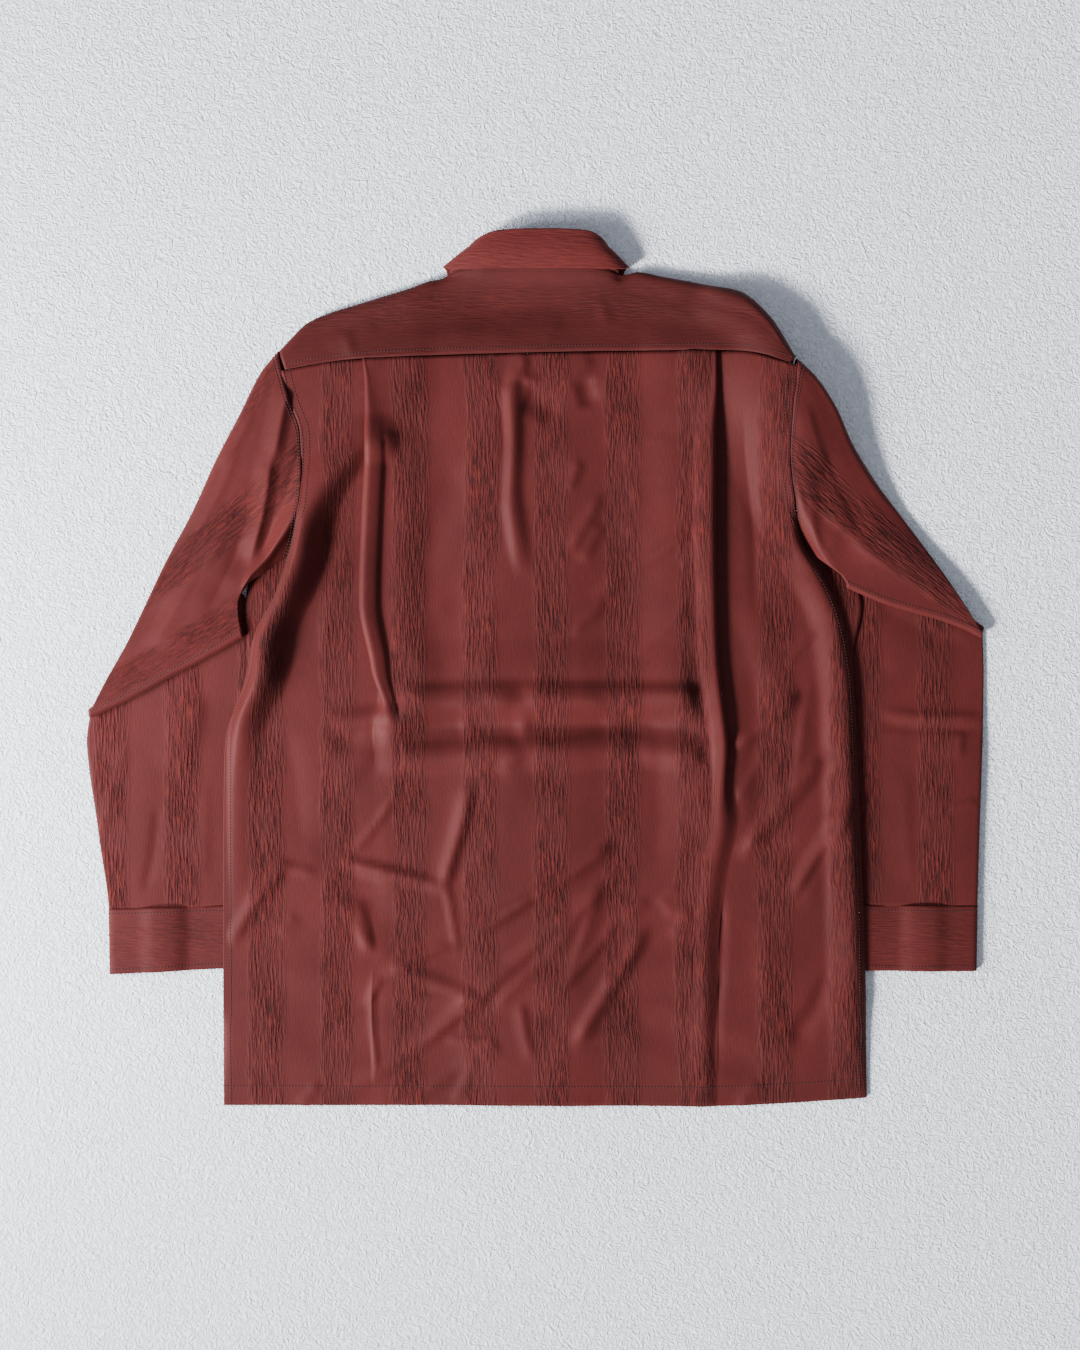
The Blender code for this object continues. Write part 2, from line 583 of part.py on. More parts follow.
def forearm_swell():
    """How much further apart the walls of a forearm lie across its width."""
    return 3.6 * hump((ACROSS - 0.12) / 0.45) + 1.6 * hump((ACROSS - 0.5) / 0.42)


def outside(points, corners):
    """Distance from each point to a convex four-sided area, 0 inside it."""
    far = np.full(len(points), np.inf)
    inside = np.ones(len(points), bool)
    middle = corners.mean(axis=0)
    for a, b in zip(corners, np.roll(corners, -1, axis=0)):
        run = b - a
        length = max(float(run @ run), 1e-9)
        t = np.clip((points - a) @ run / length, 0, 1)
        far = np.minimum(far, np.hypot(*(points - a - t[:, None] * run).T))
        turn = run[0] * (points[:, 1] - a[1]) - run[1] * (points[:, 0] - a[0])
        own = run[0] * (middle[1] - a[1]) - run[1] * (middle[0] - a[0])
        inside &= turn * own >= 0
    return np.where(inside, 0, far)


def sleeve(side):
    """A sleeve from the armhole to the cuff, folded over itself at the elbow."""
    sign = -1 if side == "left" else 1
    edge = LEFT_EDGE if side == "left" else RIGHT_EDGE
    top_y, end_y = SLEEVE_OUTER[side][0].y, ARMHOLE_END[side]
    arm_y = np.array([top_y, top_y - 0.8, top_y - 2.6, top_y - 5, 279] + ARMHOLE_ROWS[:-1] + [end_y])
    arm_x = by_y(edge, "x", arm_y)
    arm = np.column_stack([arm_x + sign * 1.3, arm_y])
    even = line_at([Line(*point) for point in arm], ACROSS)
    arm_low = front_height(arm_x, np.minimum(arm_y, top_y - 21))
    arm_high = back_height(arm_x, np.minimum(arm_y, 279))
    over, under = line_at(TOP_FOLD[side], ACROSS), line_at(UNDER_FOLD[side], ACROSS)
    tuck = np.array([over[0], over[-1], under[-1], under[0]])
    levels = [FLOOR + SLEEVE_HALF + 2 * ELBOW_RADIUS * k for k in range(3)]
    up = np.array([0, 0, 1.0])
    rings = []
    for t in (0, 0.05, 0.17, 0.3, 0.44, 0.58, 0.7, 0.81, 0.9, 0.955, 0.98, 1):
        plan = patch(even + (arm - even) * (1 - t) ** 3, over, SLEEVE_OUTER[side], SLEEVE_INNER[side], t)
        near = float(smooth(1 - t / 0.62))
        lift = smooth((46 - outside(plan, tuck)) / 36) * float(smooth(t / 0.3))
        low = FLOOR + (arm_low - FLOOR) * near + (levels[2] - SLEEVE_HALF - FLOOR) * lift
        swell = 2 * SLEEVE_HALF + 5.0 * hump((ACROSS - 0.2) / 0.6) * float(hump((t - 0.42) / 0.5))
        high = low + swell + (arm_high - arm_low - swell) * near
        round_by = SLEEVE_HALF + 6.0 * max(near, float(hump((t - 0.42) / 0.5)))
        half = tube_ring(plan, low, high, round_by, round_by)
        tall = (high - low) / 2
        mid = low + half + (tall - half) * 0.5
        centre = np.column_stack([plan, mid])
        rings.append(ring_points(centre, up[None, :], half))
    flat = tube_ring(over, np.zeros(len(ACROSS)), np.full(len(ACROSS), 2 * SLEEVE_HALF), 0.9, 0.9)
    over_way, under_way = across(over, -1), across(under, 1)
    for k in (1, 2, 3):
        rings.append(turned_ring(over, over_way, levels[1] + ELBOW_RADIUS, math.pi * k / 4, flat, 1))
    for t in (0.04, 0.96):
        plan = over + (under - over) * t
        centre = np.column_stack([plan, np.full(len(plan), levels[1])])
        rings.append(ring_points(centre, -up[None, :], flat))
    for k in (1, 2, 3):
        rings.append(turned_ring(under, under_way, levels[0] + ELBOW_RADIUS, math.pi * k / 4, flat, -1))
    wrist = line_at([FOREARM_OUTER[side][-1], FOREARM_INNER[side][-1]], ACROSS)
    for t in (0, 0.14, 0.3, 0.5, 0.72, 0.9, 1):
        plan = patch(under, wrist, FOREARM_OUTER[side], FOREARM_INNER[side], t)
        grow = float(smooth((t - 0.22) / 0.3))
        high = 2 * SLEEVE_HALF + forearm_swell() * grow
        half = tube_ring(plan, 0, high, SLEEVE_HALF + 2.2 * grow, SLEEVE_HALF)
        centre = np.column_stack([plan, FLOOR + high / 2])
        rings.append(ring_points(centre, up[None, :], half))
    return sheet(f"sleeve_{side}", np.array(rings), closed=True)


def turned_ring(line, way, axis_z, angle, half, side):
    """Ring of the flat sleeve part of the way round an elbow fold."""
    turn = ELBOW_RADIUS * math.sin(angle)
    centre = np.column_stack([line + way * turn, np.full(len(line), axis_z)])
    centre[:, 2] += ELBOW_RADIUS * math.cos(angle)
    normal = side * np.append(way * math.sin(angle), math.cos(angle))
    return ring_points(centre, normal[None, :], half)


def across(points, way):
    """Unit vector across a fold line, up the shirt (1) or down it (-1)."""
    run = points[-1] - points[0]
    across_it = np.array([-run[1], run[0]]) / np.linalg.norm(run)
    return across_it * (way if across_it[1] > 0 else -way)


def cuff(side):
    """Stiff band at the wrist, lying flat with its button on the hidden side."""
    outer = [Line(p.x, p.y - SEAM) for p in CUFF_OUTER[side]]
    inner = [Line(p.x, p.y - SEAM) for p in CUFF_INNER[side]]
    shares = np.array([0, 0.005, 0.02, 0.1, 0.22, 0.34, 0.5, 0.62, 0.8, 0.98, 0.995, 1])
    rings = []
    for t in (0, 0.12, 0.35, 0.65, 0.88, 1):
        out, inn = line_at(outer, [t])[0], line_at(inner, [t])[0]
        plan = out + (inn - out) * shares[:, None]
        high = 2 * SLEEVE_HALF + 3.4 * hump((shares - 0.18) / 0.5) + 0.5
        half = tube_ring(plan, 0, high, 2.6, 1.1)
        low = FLOOR + CUFF_LIFT * smooth((0.2 - np.abs(shares - 0.42)) / 0.1)
        centre = np.column_stack([plan, np.maximum(low + half, FLOOR + high / 2 + 0.15)])
        rings.append(ring_points(centre, np.array([[0, 0, 1.0]]), np.minimum(half, centre[:, 2] - low)))
    return sheet(f"cuff_{side}", np.array(rings), closed=True)


def collar_at(side, at, part):
    """A point of the collar on either half; the roll line leans to the right."""
    point = collar_point(at, part) * [side, 1, 1]
    point[0] += COLLAR_LEAN[part] * float(1 - smooth(at / 0.85))
    return point


def collar_stand():
    """Band round the neck, its ends lapped at the front."""
    halves = []
    for side, lift in ((-1, 0.0), (1, LAYER)):
        strip = []
        for at in NECK_STATIONS:
            pair = np.array([collar_at(side, at, "base"), collar_at(side, at, "roll")])
            pair[:, 2] += lift * lapped(side * pair[:, 0]) * float(at > 0.6)
            strip.append(pair)
        strip.append(strip[-1] + [-side * (OVERLAP - 1), 0, 0])
        halves.append(strip)
    order = halves[0][::-1] + halves[1][1:]
    grid = [[base + (roll - base) * t for t in (0, 0.35, 0.7, 1)] for base, roll in order]
    return sheet("collar_stand", np.array(grid).transpose(1, 0, 2))


def collar_leaf():
    """Leaf that turns over the stand and ends in two points under the fronts."""
    stations = [at for at in NECK_STATIONS if at < LEAF_END] + [LEAF_END]
    halves = []
    for side in (-1, 1):
        strips = []
        for at in stations:
            base, roll, edge = (collar_at(side, at, part) for part in ("base", "roll", "edge"))
            up = (roll - base) / np.linalg.norm(roll - base)
            run = collar_at(side, min(at + 0.01, 1), "roll") - collar_at(side, max(at - 0.01, 0), "roll")
            out = np.cross(run, up) * side
            size = np.linalg.norm(out)
            out /= size
            up /= max(size / np.linalg.norm(run), 0.4)
            strip = [roll + up * 1.0 - out * 0.3, roll + up * 1.7 + out * 0.5, roll + up * 1.3 + out * 1.6]
            start = roll + out * 2.0 - up * 0.6
            for t in (0, 0.2, 0.45, 0.72, 1):
                bow = 2.2 * math.sin(math.pi * t) * float(smooth((0.6 - at) / 0.3))
                strip.append(start + (edge - start) * t + out * bow)
            strips.append(np.array(strip))
        halves.append(strips)
    order = halves[0][::-1] + halves[1][1:]
    return sheet("collar", np.array(order).transpose(1, 0, 2))


def button(name, x, y, top, radius=BUTTON_RADIUS):
    """A turned four-hole button's disc with a rolled rim; its face is down."""
    profile = [(0, 0.5), (0.6, 0.5), (0.8, 0.0), (1.0, 0.5), (1.0, 1.5), (0.8, 2.1), (0, 2.1)]
    scale = BUTTON_THICK / profile[-1][1]
    mesh = bpy.data.meshes.new(name)
    corners = [(r * radius * MM, 0, h * scale * MM) for r, h in profile]
    edges = [(i, i + 1) for i in range(len(corners) - 1)]
    mesh.from_pydata(corners, edges, [])
    mesh.materials.append(material(name, BUTTON_RED, 0.3))
    piece = bpy.data.objects.new(name, mesh)
    turn = piece.modifiers.new("turn", "SCREW")
    turn.steps = turn.render_steps = 10
    turn.use_merge_vertices = True
    turn.merge_threshold = 0.00001
    turn.use_normal_calculate = True
    piece.location = (x * MM, y * MM, (top - BUTTON_THICK) * MM)
    garment.objects.link(piece)
    return piece


def buttons():
    for k in range(BUTTON_COUNT):
        y = BUTTON_TOP - BUTTON_PITCH * k
        button(f"button_{k + 1}", 0, y, float(front_height(0, y)) - CLOTH / 2 - 0.35)
    neck = (collar_point(1, "base")[1] + collar_point(1, "roll")[1]) / 2
    button("button_collar", 0, neck, collar_point(1, "base")[2] - CLOTH / 2 - 0.15)
    for side in ("left", "right"):
        out, inn = CUFF_OUTER[side], CUFF_INNER[side]
        x = out[0].x + (inn[0].x - out[0].x) * 0.42
        y = (out[0].y + out[1].y) / 2
        button(f"button_cuff_{side}", x, y, BUTTON_THICK, radius=4.8)


for old in list(bpy.data.objects):
    bpy.data.objects.remove(old, do_unlink=True)
garment = bpy.data.collections.new("long_sleeve_shirt")
bpy.context.scene.collection.children.link(garment)

back()
yoke()
front("front_left", -1, 0.0)
front("front_right", 1, LAYER)
for arm in ("left", "right"):
    sleeve(arm)
    cuff(arm)
collar_stand()
collar_leaf()
buttons()
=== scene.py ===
import math
from collections import namedtuple

import bpy
import numpy as np
from mathutils import Matrix, Vector


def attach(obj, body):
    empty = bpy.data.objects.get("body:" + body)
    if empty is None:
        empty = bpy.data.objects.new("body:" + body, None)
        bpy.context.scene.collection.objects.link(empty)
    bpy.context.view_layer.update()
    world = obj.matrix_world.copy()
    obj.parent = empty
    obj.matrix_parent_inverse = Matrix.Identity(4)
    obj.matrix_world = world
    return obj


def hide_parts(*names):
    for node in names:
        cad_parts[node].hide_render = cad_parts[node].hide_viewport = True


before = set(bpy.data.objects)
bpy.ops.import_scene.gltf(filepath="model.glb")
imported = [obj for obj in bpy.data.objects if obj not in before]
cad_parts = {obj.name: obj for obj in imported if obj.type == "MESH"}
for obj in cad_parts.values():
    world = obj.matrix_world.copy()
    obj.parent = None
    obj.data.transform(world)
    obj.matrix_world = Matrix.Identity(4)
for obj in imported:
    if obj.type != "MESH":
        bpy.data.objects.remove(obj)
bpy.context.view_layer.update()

MM = 0.001


# The picture. The shirt lies face down on a pale board, in soft daylight from the
# lower left, under a camera straight above it. Sizes are in millimetres, as on the
# shirt: X across it, Y up to the collar, Z out of its back.
VIEW_TALL = 1255.5
VIEW_MIDDLE = (5.1, -5.6)
CAMERA_HEIGHT = 2000
CLOTH_LEVEL = 10
SENSOR_WIDTH = 36
LIGHT_HEADING = (0.80, 0.60)
LIGHT_HEIGHT = 29  # degrees above the board
SUN_POWER = 8.6
SUN_WIDTH = 11  # degrees; it sets how soft the shadows' edges are
WINDOW_POWER = 34
WINDOW_SIZE = 0.5
WINDOW_PLACE = (-1.15, -0.15, 0.62)
WINDOW_HEADING = (1.0, 0.2, -0.62)
SKY_POWER = 0.5
BOARD_SIZE = 6000
BOARD_LEVEL = -0.4  # just under the cloth
BOARD_GRAIN = 150.0
BOARD_RELIEF = 0.006


def paint(hex_colour):
    """Linear colour of an sRGB hex value."""
    parts = [int(hex_colour[i:i + 2], 16) / 255 for i in (1, 3, 5)]
    linear = [c / 12.92 if c <= 0.04045 else ((c + 0.055) / 1.055) ** 2.4 for c in parts]
    return (*linear, 1.0)


def add(tree, kind, inputs=None, **settings):
    """A node with its settings, its values and the sockets that feed it."""
    node = tree.nodes.new(kind)
    for name, value in settings.items():
        setattr(node, name, value)
    for socket, value in (inputs or {}).items():
        if isinstance(value, bpy.types.NodeSocket):
            tree.links.new(value, node.inputs[socket])
        else:
            node.inputs[socket].default_value = value
    return node


def new_material(name):
    """A material with its node tree and its shader."""
    made = bpy.data.materials.new(name)
    made.use_nodes = True
    return made, made.node_tree, made.node_tree.nodes["Principled BSDF"]


def mixed(tree, share, low, high):
    """Colour between low and high: each is a colour or a socket."""
    mix = add(tree, "ShaderNodeMix", {0: share, 6: low, 7: high}, data_type="RGBA")
    return mix.outputs[2]


def placed(name, data):
    """A new object in the scene."""
    thing = bpy.data.objects.new(name, data)
    bpy.context.scene.collection.objects.link(thing)
    return thing


camera_data = bpy.data.cameras.new("camera")
camera_data.sensor_width = SENSOR_WIDTH
camera_data.lens = SENSOR_WIDTH * (CAMERA_HEIGHT - CLOTH_LEVEL) / VIEW_TALL
camera = placed("camera", camera_data)
camera.location = (VIEW_MIDDLE[0] * MM, VIEW_MIDDLE[1] * MM, CAMERA_HEIGHT * MM)
bpy.context.scene.camera = camera

sun_data = bpy.data.lights.new("daylight", "SUN")
sun_data.energy = SUN_POWER
sun_data.angle = math.radians(SUN_WIDTH)
sun_data.color = (1.0, 0.99, 0.975)
sun = placed("daylight", sun_data)
drop = math.tan(math.radians(LIGHT_HEIGHT))
sun.rotation_euler = Vector((*LIGHT_HEADING, -drop)).to_track_quat("-Z", "Y").to_euler()
window_data = bpy.data.lights.new("window", "AREA")
window_data.energy = WINDOW_POWER
window_data.size = WINDOW_SIZE
window_data.color = (0.93, 0.96, 1.0)
window = placed("window", window_data)
window.location = WINDOW_PLACE
window.rotation_euler = Vector(WINDOW_HEADING).to_track_quat("-Z", "Y").to_euler()
sky = bpy.data.worlds.new("sky")
sky.use_nodes = True
background = sky.node_tree.nodes["Background"]
background.inputs["Color"].default_value = paint("#E4EAF6")
background.inputs["Strength"].default_value = SKY_POWER
bpy.context.scene.world = sky


def painted_board():
    """Matt white paint rolled on a board: a fine, soft texture 2 to 6 mm across."""
    made, tree, shader = new_material("rolled_white_paint")
    shader.inputs["Base Color"].default_value = paint("#F0F4FC")
    shader.inputs["Roughness"].default_value = 0.85
    place = add(tree, "ShaderNodeTexCoord").outputs["Object"]
    grain = add(tree, "ShaderNodeTexNoise", {
        "Vector": place, "Scale": BOARD_GRAIN, "Detail": 6.0, "Distortion": 2.2,
    })
    relief = add(tree, "ShaderNodeBump", {
        "Height": grain.outputs["Fac"], "Strength": 0.8, "Distance": BOARD_RELIEF,
    })
    tree.links.new(relief.outputs["Normal"], shader.inputs["Normal"])
    return made


board_mesh = bpy.data.meshes.new("board")
half = BOARD_SIZE / 2 * MM
board_corners = [(x * half, y * half, BOARD_LEVEL * MM) for x, y in ((-1, -1), (1, -1), (1, 1), (-1, 1))]
board_mesh.from_pydata(board_corners, [], [(0, 1, 2, 3)])
board_mesh.materials.append(painted_board())
board = placed("board", board_mesh)


# Back. One panel of crinkle-stripe viscose from the yoke to the hem, with a pleat on
# each side that doubles the cloth back under the middle and lets go lower down. Its
# left side stands up in a long fold, and its right side rolls over the forearm.
CLOTH = 1.2  # wall of the solid that each shell follows
SHEER = 0.7  # wall of a single layer of cloth
SEAM = 0.5
FLOOR = CLOTH / 2
LAYER = CLOTH + 0.4
FOLD_RADIUS = 1.1
GRID_STEP = 4.0  # between the points of a shell
TOP_Y, TOP_BLEND_Y = 293, 268  # the yoke's seam, and where rows begin to bend to it
HEM_Y, HEM_BLEND_Y = -407, -330
TOP_ROWS = 8
TOP_ROW_STEP = 3.5
LOWER_ROWS = 170
PLACKET_LIFT = 2.7
FOREARM_LIFT = 4.1
COLLAR_LIFT = 2.6

Edge = namedtuple("Edge", "y x")
Line = namedtuple("Line", "x y")
Fold = namedtuple("Fold", "y x height left right")
Crease = namedtuple("Crease", "x0 y0 x1 y1 height width")
Pleat = namedtuple("Pleat", "y x overlap roll closed")


def table(kind, rows):
    """Rows of a table whose columns have the names of their kind."""
    return [kind(*row) for row in rows]


LEFT_EDGE = table(Edge, [
    (294, -239), (272, -234), (250, -228), (220, -218), (175, -217), (125, -224), (103, -231),
    (64, -244), (35, -260), (0, -268), (-20, -272), (-55, -286), (-84, -289), (-215, -290),
    (-407, -290),
])
RIGHT_EDGE = table(Edge, [
    (286, 244), (237, 238), (198, 236), (163, 240), (115, 251), (87, 268), (64, 280), (43, 288),
    (9, 295), (-40, 299), (-85, 301), (-187, 305), (-280, 308), (-407, 310),
])
HEM = table(Line, [(-290, -407), (-32, -407), (157, -408), (219, -406), (310, -400)])
SWELL = table(Line, [
    (-407, 2.4), (-390, 3.2), (-330, 5.4), (-100, 5.6), (90, 6.0), (200, 10.0), (285, 15.0),
    (325, 12.0), (372, 14.6), (400, 15.0),
])
STANDING_FOLD = table(Fold, [
    (236, -146, 0, 40, 22), (222, -153, 4, 42, 24), (185, -186, 13, 40, 26),
    (139, -213, 20, 26, 28), (100, -221, 23, 16, 28), (69, -232, 24, 12, 28),
    (40, -247, 23, 12, 28), (-11, -257, 20, 12, 28), (-47, -272, 12, 12, 26),
    (-85, -277, 5, 12, 26), (-178, -279, 2, 11, 24), (-330, -279, 0, 11, 24),
])
SHOULDER_RISE = table(Fold, [
    (372, 190, 0, 60, 60), (340, 205, 7, 80, 60), (300, 232, 13, 100, 60), (240, 240, 17, 78, 70),
    (180, 242, 14, 60, 70), (130, 250, 9, 44, 50), (90, 264, 5, 36, 40), (40, 286, 0, 30, 40),
])
SIDE_ROLL = table(Fold, [
    (90, 258, 0, 26, 14), (50, 276, 6, 26, 14), (0, 286, 8, 26, 14), (-85, 290, 9, 26, 14),
    (-187, 293, 9, 26, 15), (-280, 296, 7, 26, 16), (-370, 297, 2, 26, 16), (-407, 297, 0, 26, 16),
])
MIDDLE_FOLD = table(Fold, [
    (290, -16, 1, 9, 13), (262, -22, 4, 9, 13), (215, -21, 5.5, 9, 13), (170, -23, 5, 9, 14),
    (120, -18, 4, 9, 16), (85, -12, 0, 9, 16),
])
CREASES = table(Crease, [
    (-185, -50, -125, -43, 4.5, 15), (-125, -43, -32, -38, 6, 17), (-32, -38, 61, -38, 6, 17),
    (61, -38, 165, -46, 5, 15), (-6, 252, 20, 240, -4, 18), (46, 268, 52, 246, -3, 13),
    (-130, -278, 5, -208, 3.6, 11), (5, -208, 68, -166, 3.2, 10), (-99, -343, 59, -206, 3.0, 10),
    (41, -344, 100, -247, 3.2, 11), (-178, -179, -99, -200, 2.4, 9),
    (-60, -111, -84, -202, 2.6, 9), (198, -168, 266, -86, 4.0, 13),
    (241, -206, 288, -131, 3.2, 11), (-236, -184, -282, -250, 2.4, 10),
    (244, -345, 276, -288, -1.6, 13), (60, 72, 150, 130, 2.4, 10), (188, -71, 244, -27, 3.0, 12),
    (-165, -220, -154, -260, 2.2, 9), (-127, -279, -50, -308, 2.2, 9),
])
LEFT_PLEAT = table(Pleat, [
    (293, -159, 21, 1.4, 1), (262, -157, 20, 2.6, 1), (215, -157, 17, 4.3, 1),
    (150, -160, 14, 4.6, 1), (63, -163, 10, 4.6, 1), (2, -152, 7, 4.0, 1),
    (-49, -147, 6, 2.4, 0.5), (-95, -146, 6, 2.0, 0.1), (-140, -146, 6, 2.0, 0),
    (-410, -150, 6, 2.0, 0),
])
RIGHT_PLEAT = table(Pleat, [
    (293, 168, 21, 1.4, 1), (262, 169, 20, 2.4, 1), (215, 168, 18, 4.6, 1), (150, 168, 15, 4.8, 1),
    (63, 169, 13, 4.4, 1), (8, 171, 11, 4.2, 1), (-60, 179, 8, 4.0, 1), (-137, 186, 6, 2.4, 0.5),
    (-190, 176, 6, 2.0, 0.25), (-260, 168, 6, 1.8, 0.2), (-410, 167, 6, 1.6, 0.15),
])
# Sharp creases pressed into the cloth: both ends, height (a trough is below 0), width.
BACK_CREASES = table(Crease, [
    (-130, -121, -178, -179, 2.4, 9), (-175, -179, -99, -199, 2.2, 8),
    (-175, -213, -99, -201, -2.0, 8), (-99, -200, -86, -203, 2.0, 8),
    (-60, -112, -84, -203, 2.8, 8), (-84, -203, -72, -257, 2.4, 8),
    (-130, -278, -99, -263, 2.2, 8), (-99, -263, -69, -257, 2.1, 8), (-69, -257, 5, -208, 3.0, 9),
    (5, -208, 68, -166, 2.7, 9), (-178, -220, -154, -259, 1.8, 7),
    (-239, -245, -224, -230, 1.5, 7), (-239, -181, -205, -191, 2.1, 7),
    (-236, -184, -251, -206, 2.0, 7), (-251, -206, -287, -257, 2.4, 8),
    (-118, -305, -51, -308, 2.1, 7), (-99, -343, -51, -312, 2.5, 8),
    (-51, -312, -38, -296, 2.2, 7), (-36, -312, 5, -275, 2.4, 8), (5, -275, 59, -206, 2.8, 9),
    (-157, -312, -142, -290, 1.8, 7), (-14, -312, -2, -363, 2.1, 8),
    (-190, -405, -99, -344, 2.5, 9), (-118, -405, -51, -360, 2.1, 8),
    (-51, -360, -36, -349, 1.8, 7), (-81, -344, -36, -349, 1.8, 7), (-75, -402, -54, -365, 2.0, 7),
    (-220, -405, -202, -387, 1.8, 7), (-151, -287, -150, -378, 1.8, 7), (-32, -93, 9, -61, 2.4, 9),
    (36, 33, 66, 64, 2.2, 8), (93, 14, 150, 64, 2.7, 9), (25, -298, 81, -234, 2.8, 9),
    (81, -234, 103, -216, 2.2, 8), (25, -298, 62, -206, 2.4, 8), (41, -344, 68, -298, 2.4, 8),
    (68, -298, 100, -247, 2.5, 8), (116, -219, 132, -203, 1.8, 7), (122, -225, 144, -222, 1.8, 7),
    (128, -247, 144, -228, 1.8, 7), (188, -71, 244, -27, 2.5, 9), (188, -121, 216, -74, 2.2, 8),
    (235, 5, 260, 33, 2.2, 8), (239, -112, 257, -18, 2.2, 8), (198, -168, 235, -112, 2.4, 8),
    (235, -112, 266, -86, 2.2, 8), (241, -206, 295, -131, 2.8, 9), (235, -162, 296, -127, 2.2, 8),
    (251, -216, 289, -143, 2.1, 8), (244, -345, 282, -288, -2.2, 14),
    (191, -407, 207, -385, 2.0, 8), (41, 192, 32, 166, 2.4, 8), (60, 159, 35, 113, 2.7, 9),
    (63, 133, 45, 102, 2.2, 8), (80, 134, 38, 113, -1.8, 11), (53, 286, 27, 263, 2.4, 9),
    (-10, 289, -10, 268, 2.1, 8), (-10, 268, 3, 267, 1.8, 7), (-148, 169, -143, 160, -2.1, 5),
    (173, -206, 170, -380, -2.1, 7), (-14, 288, -27, 262, -2.0, 7), (-29, 240, -27, 160, -2.2, 7),
    (-178, 120, -196, 20, 1.2, 16), (-110, 240, -104, 130, -1.2, 20), (88, 250, 96, 120, 1.3, 22),
    (196, 230, 205, 60, -1.6, 20), (-230, -60, -215, -170, -1.4, 18),
    (120, -60, 112, -180, -1.3, 20), (-40, 60, -46, -20, 1.2, 18), (214, -230, 226, -380, 1.3, 18),
    (20, 20, 90, 60, -1.2, 14), (-130, 20, -80, 60, 1.1, 14),
])
# Wide rolls of cloth beside the level fold across the middle, and below the pleats.
BACK_ROLLS = table(Crease, [
    (-182, -70, -132, -64, -2.0, 17), (-118, -62, -66, -53, -2.8, 16),
    (-58, -53, -14, -57, -2.9, 17), (-4, -56, 68, -50, -2.9, 16), (78, -50, 156, -55, -2.9, 16),
    (-112, -49, -20, -46, -2.6, 13), (-10, -46, 148, -48, -2.6, 13),
    (-132, -85, -10, -77, 6.2, 18), (0, -80, 90, -74, 6.6, 19), (98, -76, 152, -82, 4.8, 17),
    (-118, -27, -22, -24, 8.0, 16), (-12, -24, 150, -26, 8.2, 16), (-112, -10, 20, -4, 3.6, 38),
    (30, -6, 146, -12, 3.6, 38), (-150, -62, -176, -108, 1.6, 16), (20, 190, 120, 250, 1.8, 24),
    (60, 60, 150, 100, -1.6, 26), (-110, 90, -70, 180, -1.8, 24),
    (-200, -150, -120, -260, -1.6, 24), (0, -110, 110, -60, -1.6, 24),
    (-230, -290, 40, -296, 1.8, 24), (60, -286, 240, -270, 1.8, 24),
    (-220, -340, -60, -372, -1.3, 26), (90, -330, 210, -372, -1.4, 26),
    (200, 60, 240, -60, 1.8, 22), (205, -10, 214, -150, -1.6, 18),
])
# Stripes of the cloth: one crinkled and one smooth to each repeat.
STRIPE_REPEAT = 67.0
CRINKLED_WIDE = 30.0
STRIPE_AT = 16.0  # middle of a crinkled stripe on the middle panel
LEFT_STRIPE_SHIFT = -2.0
RIGHT_STRIPE_SHIFT = -8.5
SHIFT_SPREAD = 45.0
OPEN_CALM = 0.8  # how flat the left pleat's cloth lies where it has let go


def column(rows, name):
    """One column of a table."""
    return np.array([getattr(row, name) for row in rows], float)


def through(at, knots, values):
    """A smooth curve through the knots, level beyond both ends."""
    at, knots, values = (np.asarray(v, float) for v in (at, knots, values))
    if knots[0] > knots[-1]:
        knots, values = knots[::-1], values[::-1]
    steps = np.diff(values) / np.diff(knots)
    slopes = np.gradient(values, knots)
    turns = steps[:-1] * steps[1:] <= 0
    most = 3 * np.minimum(np.abs(steps[:-1]), np.abs(steps[1:]))
    slopes[1:-1] = np.where(turns, 0, np.clip(slopes[1:-1], -most, most))
    at = np.clip(at, knots[0], knots[-1])
    i = np.clip(np.searchsorted(knots, at, side="right") - 1, 0, len(knots) - 2)
    span = knots[i + 1] - knots[i]
    t = (at - knots[i]) / span
    ease = t * t * (3 - 2 * t)
    start = t * (1 - t) ** 2
    stop = t * t * (1 - t)
    level = values[i] * (1 - ease) + values[i + 1] * ease
    return level + span * (start * slopes[i] - stop * slopes[i + 1])


def running(steps):
    """Distance run at each point, from the steps between the points."""
    return np.concatenate([[0], np.cumsum(steps)])


def by_y(rows, name, y):
    """A column of a table, read at a height on the shirt."""
    return through(y, column(rows, "y"), column(rows, name))


def by_x(rows, x):
    """A line's y, read at x."""
    return through(x, column(rows, "x"), column(rows, "y"))


def smooth(t):
    """0 up to t = 0 and 1 from t = 1, with a smooth step between."""
    t = np.clip(t, 0, 1)
    return t * t * (3 - 2 * t)


def hump(t):
    """1 in the middle, falling smoothly to 0 at t = -1 and 1."""
    return np.clip(1 - t * t, 0, 1) ** 2


def ridge(x, y, rows):
    """Height of a fold that runs up and down the shirt."""
    off = x - by_y(rows, "x", y)
    wide = np.where(off < 0, by_y(rows, "left", y), by_y(rows, "right", y))
    height = np.clip(by_y(rows, "height", y), 0, None)
    return height * hump(off / wide)


def crease(x, y, c):
    """Height of a soft fold between two ends."""
    run = np.array([c.x1 - c.x0, c.y1 - c.y0])
    length = np.hypot(*run)
    dx, dy = x - c.x0, y - c.y0
    along = (dx * run[0] + dy * run[1]) / length**2
    across = (dy * run[0] - dx * run[1]) / length
    ends = hump(np.clip(np.abs(along - 0.5) - 0.35, 0, None) / 0.3)
    return c.height * hump(across / c.width) * ends


def near_top(y):
    """1 at the yoke's seam, 0 below the rows that bend to it."""
    return smooth((y - TOP_BLEND_Y) / (TOP_Y - TOP_BLEND_Y))


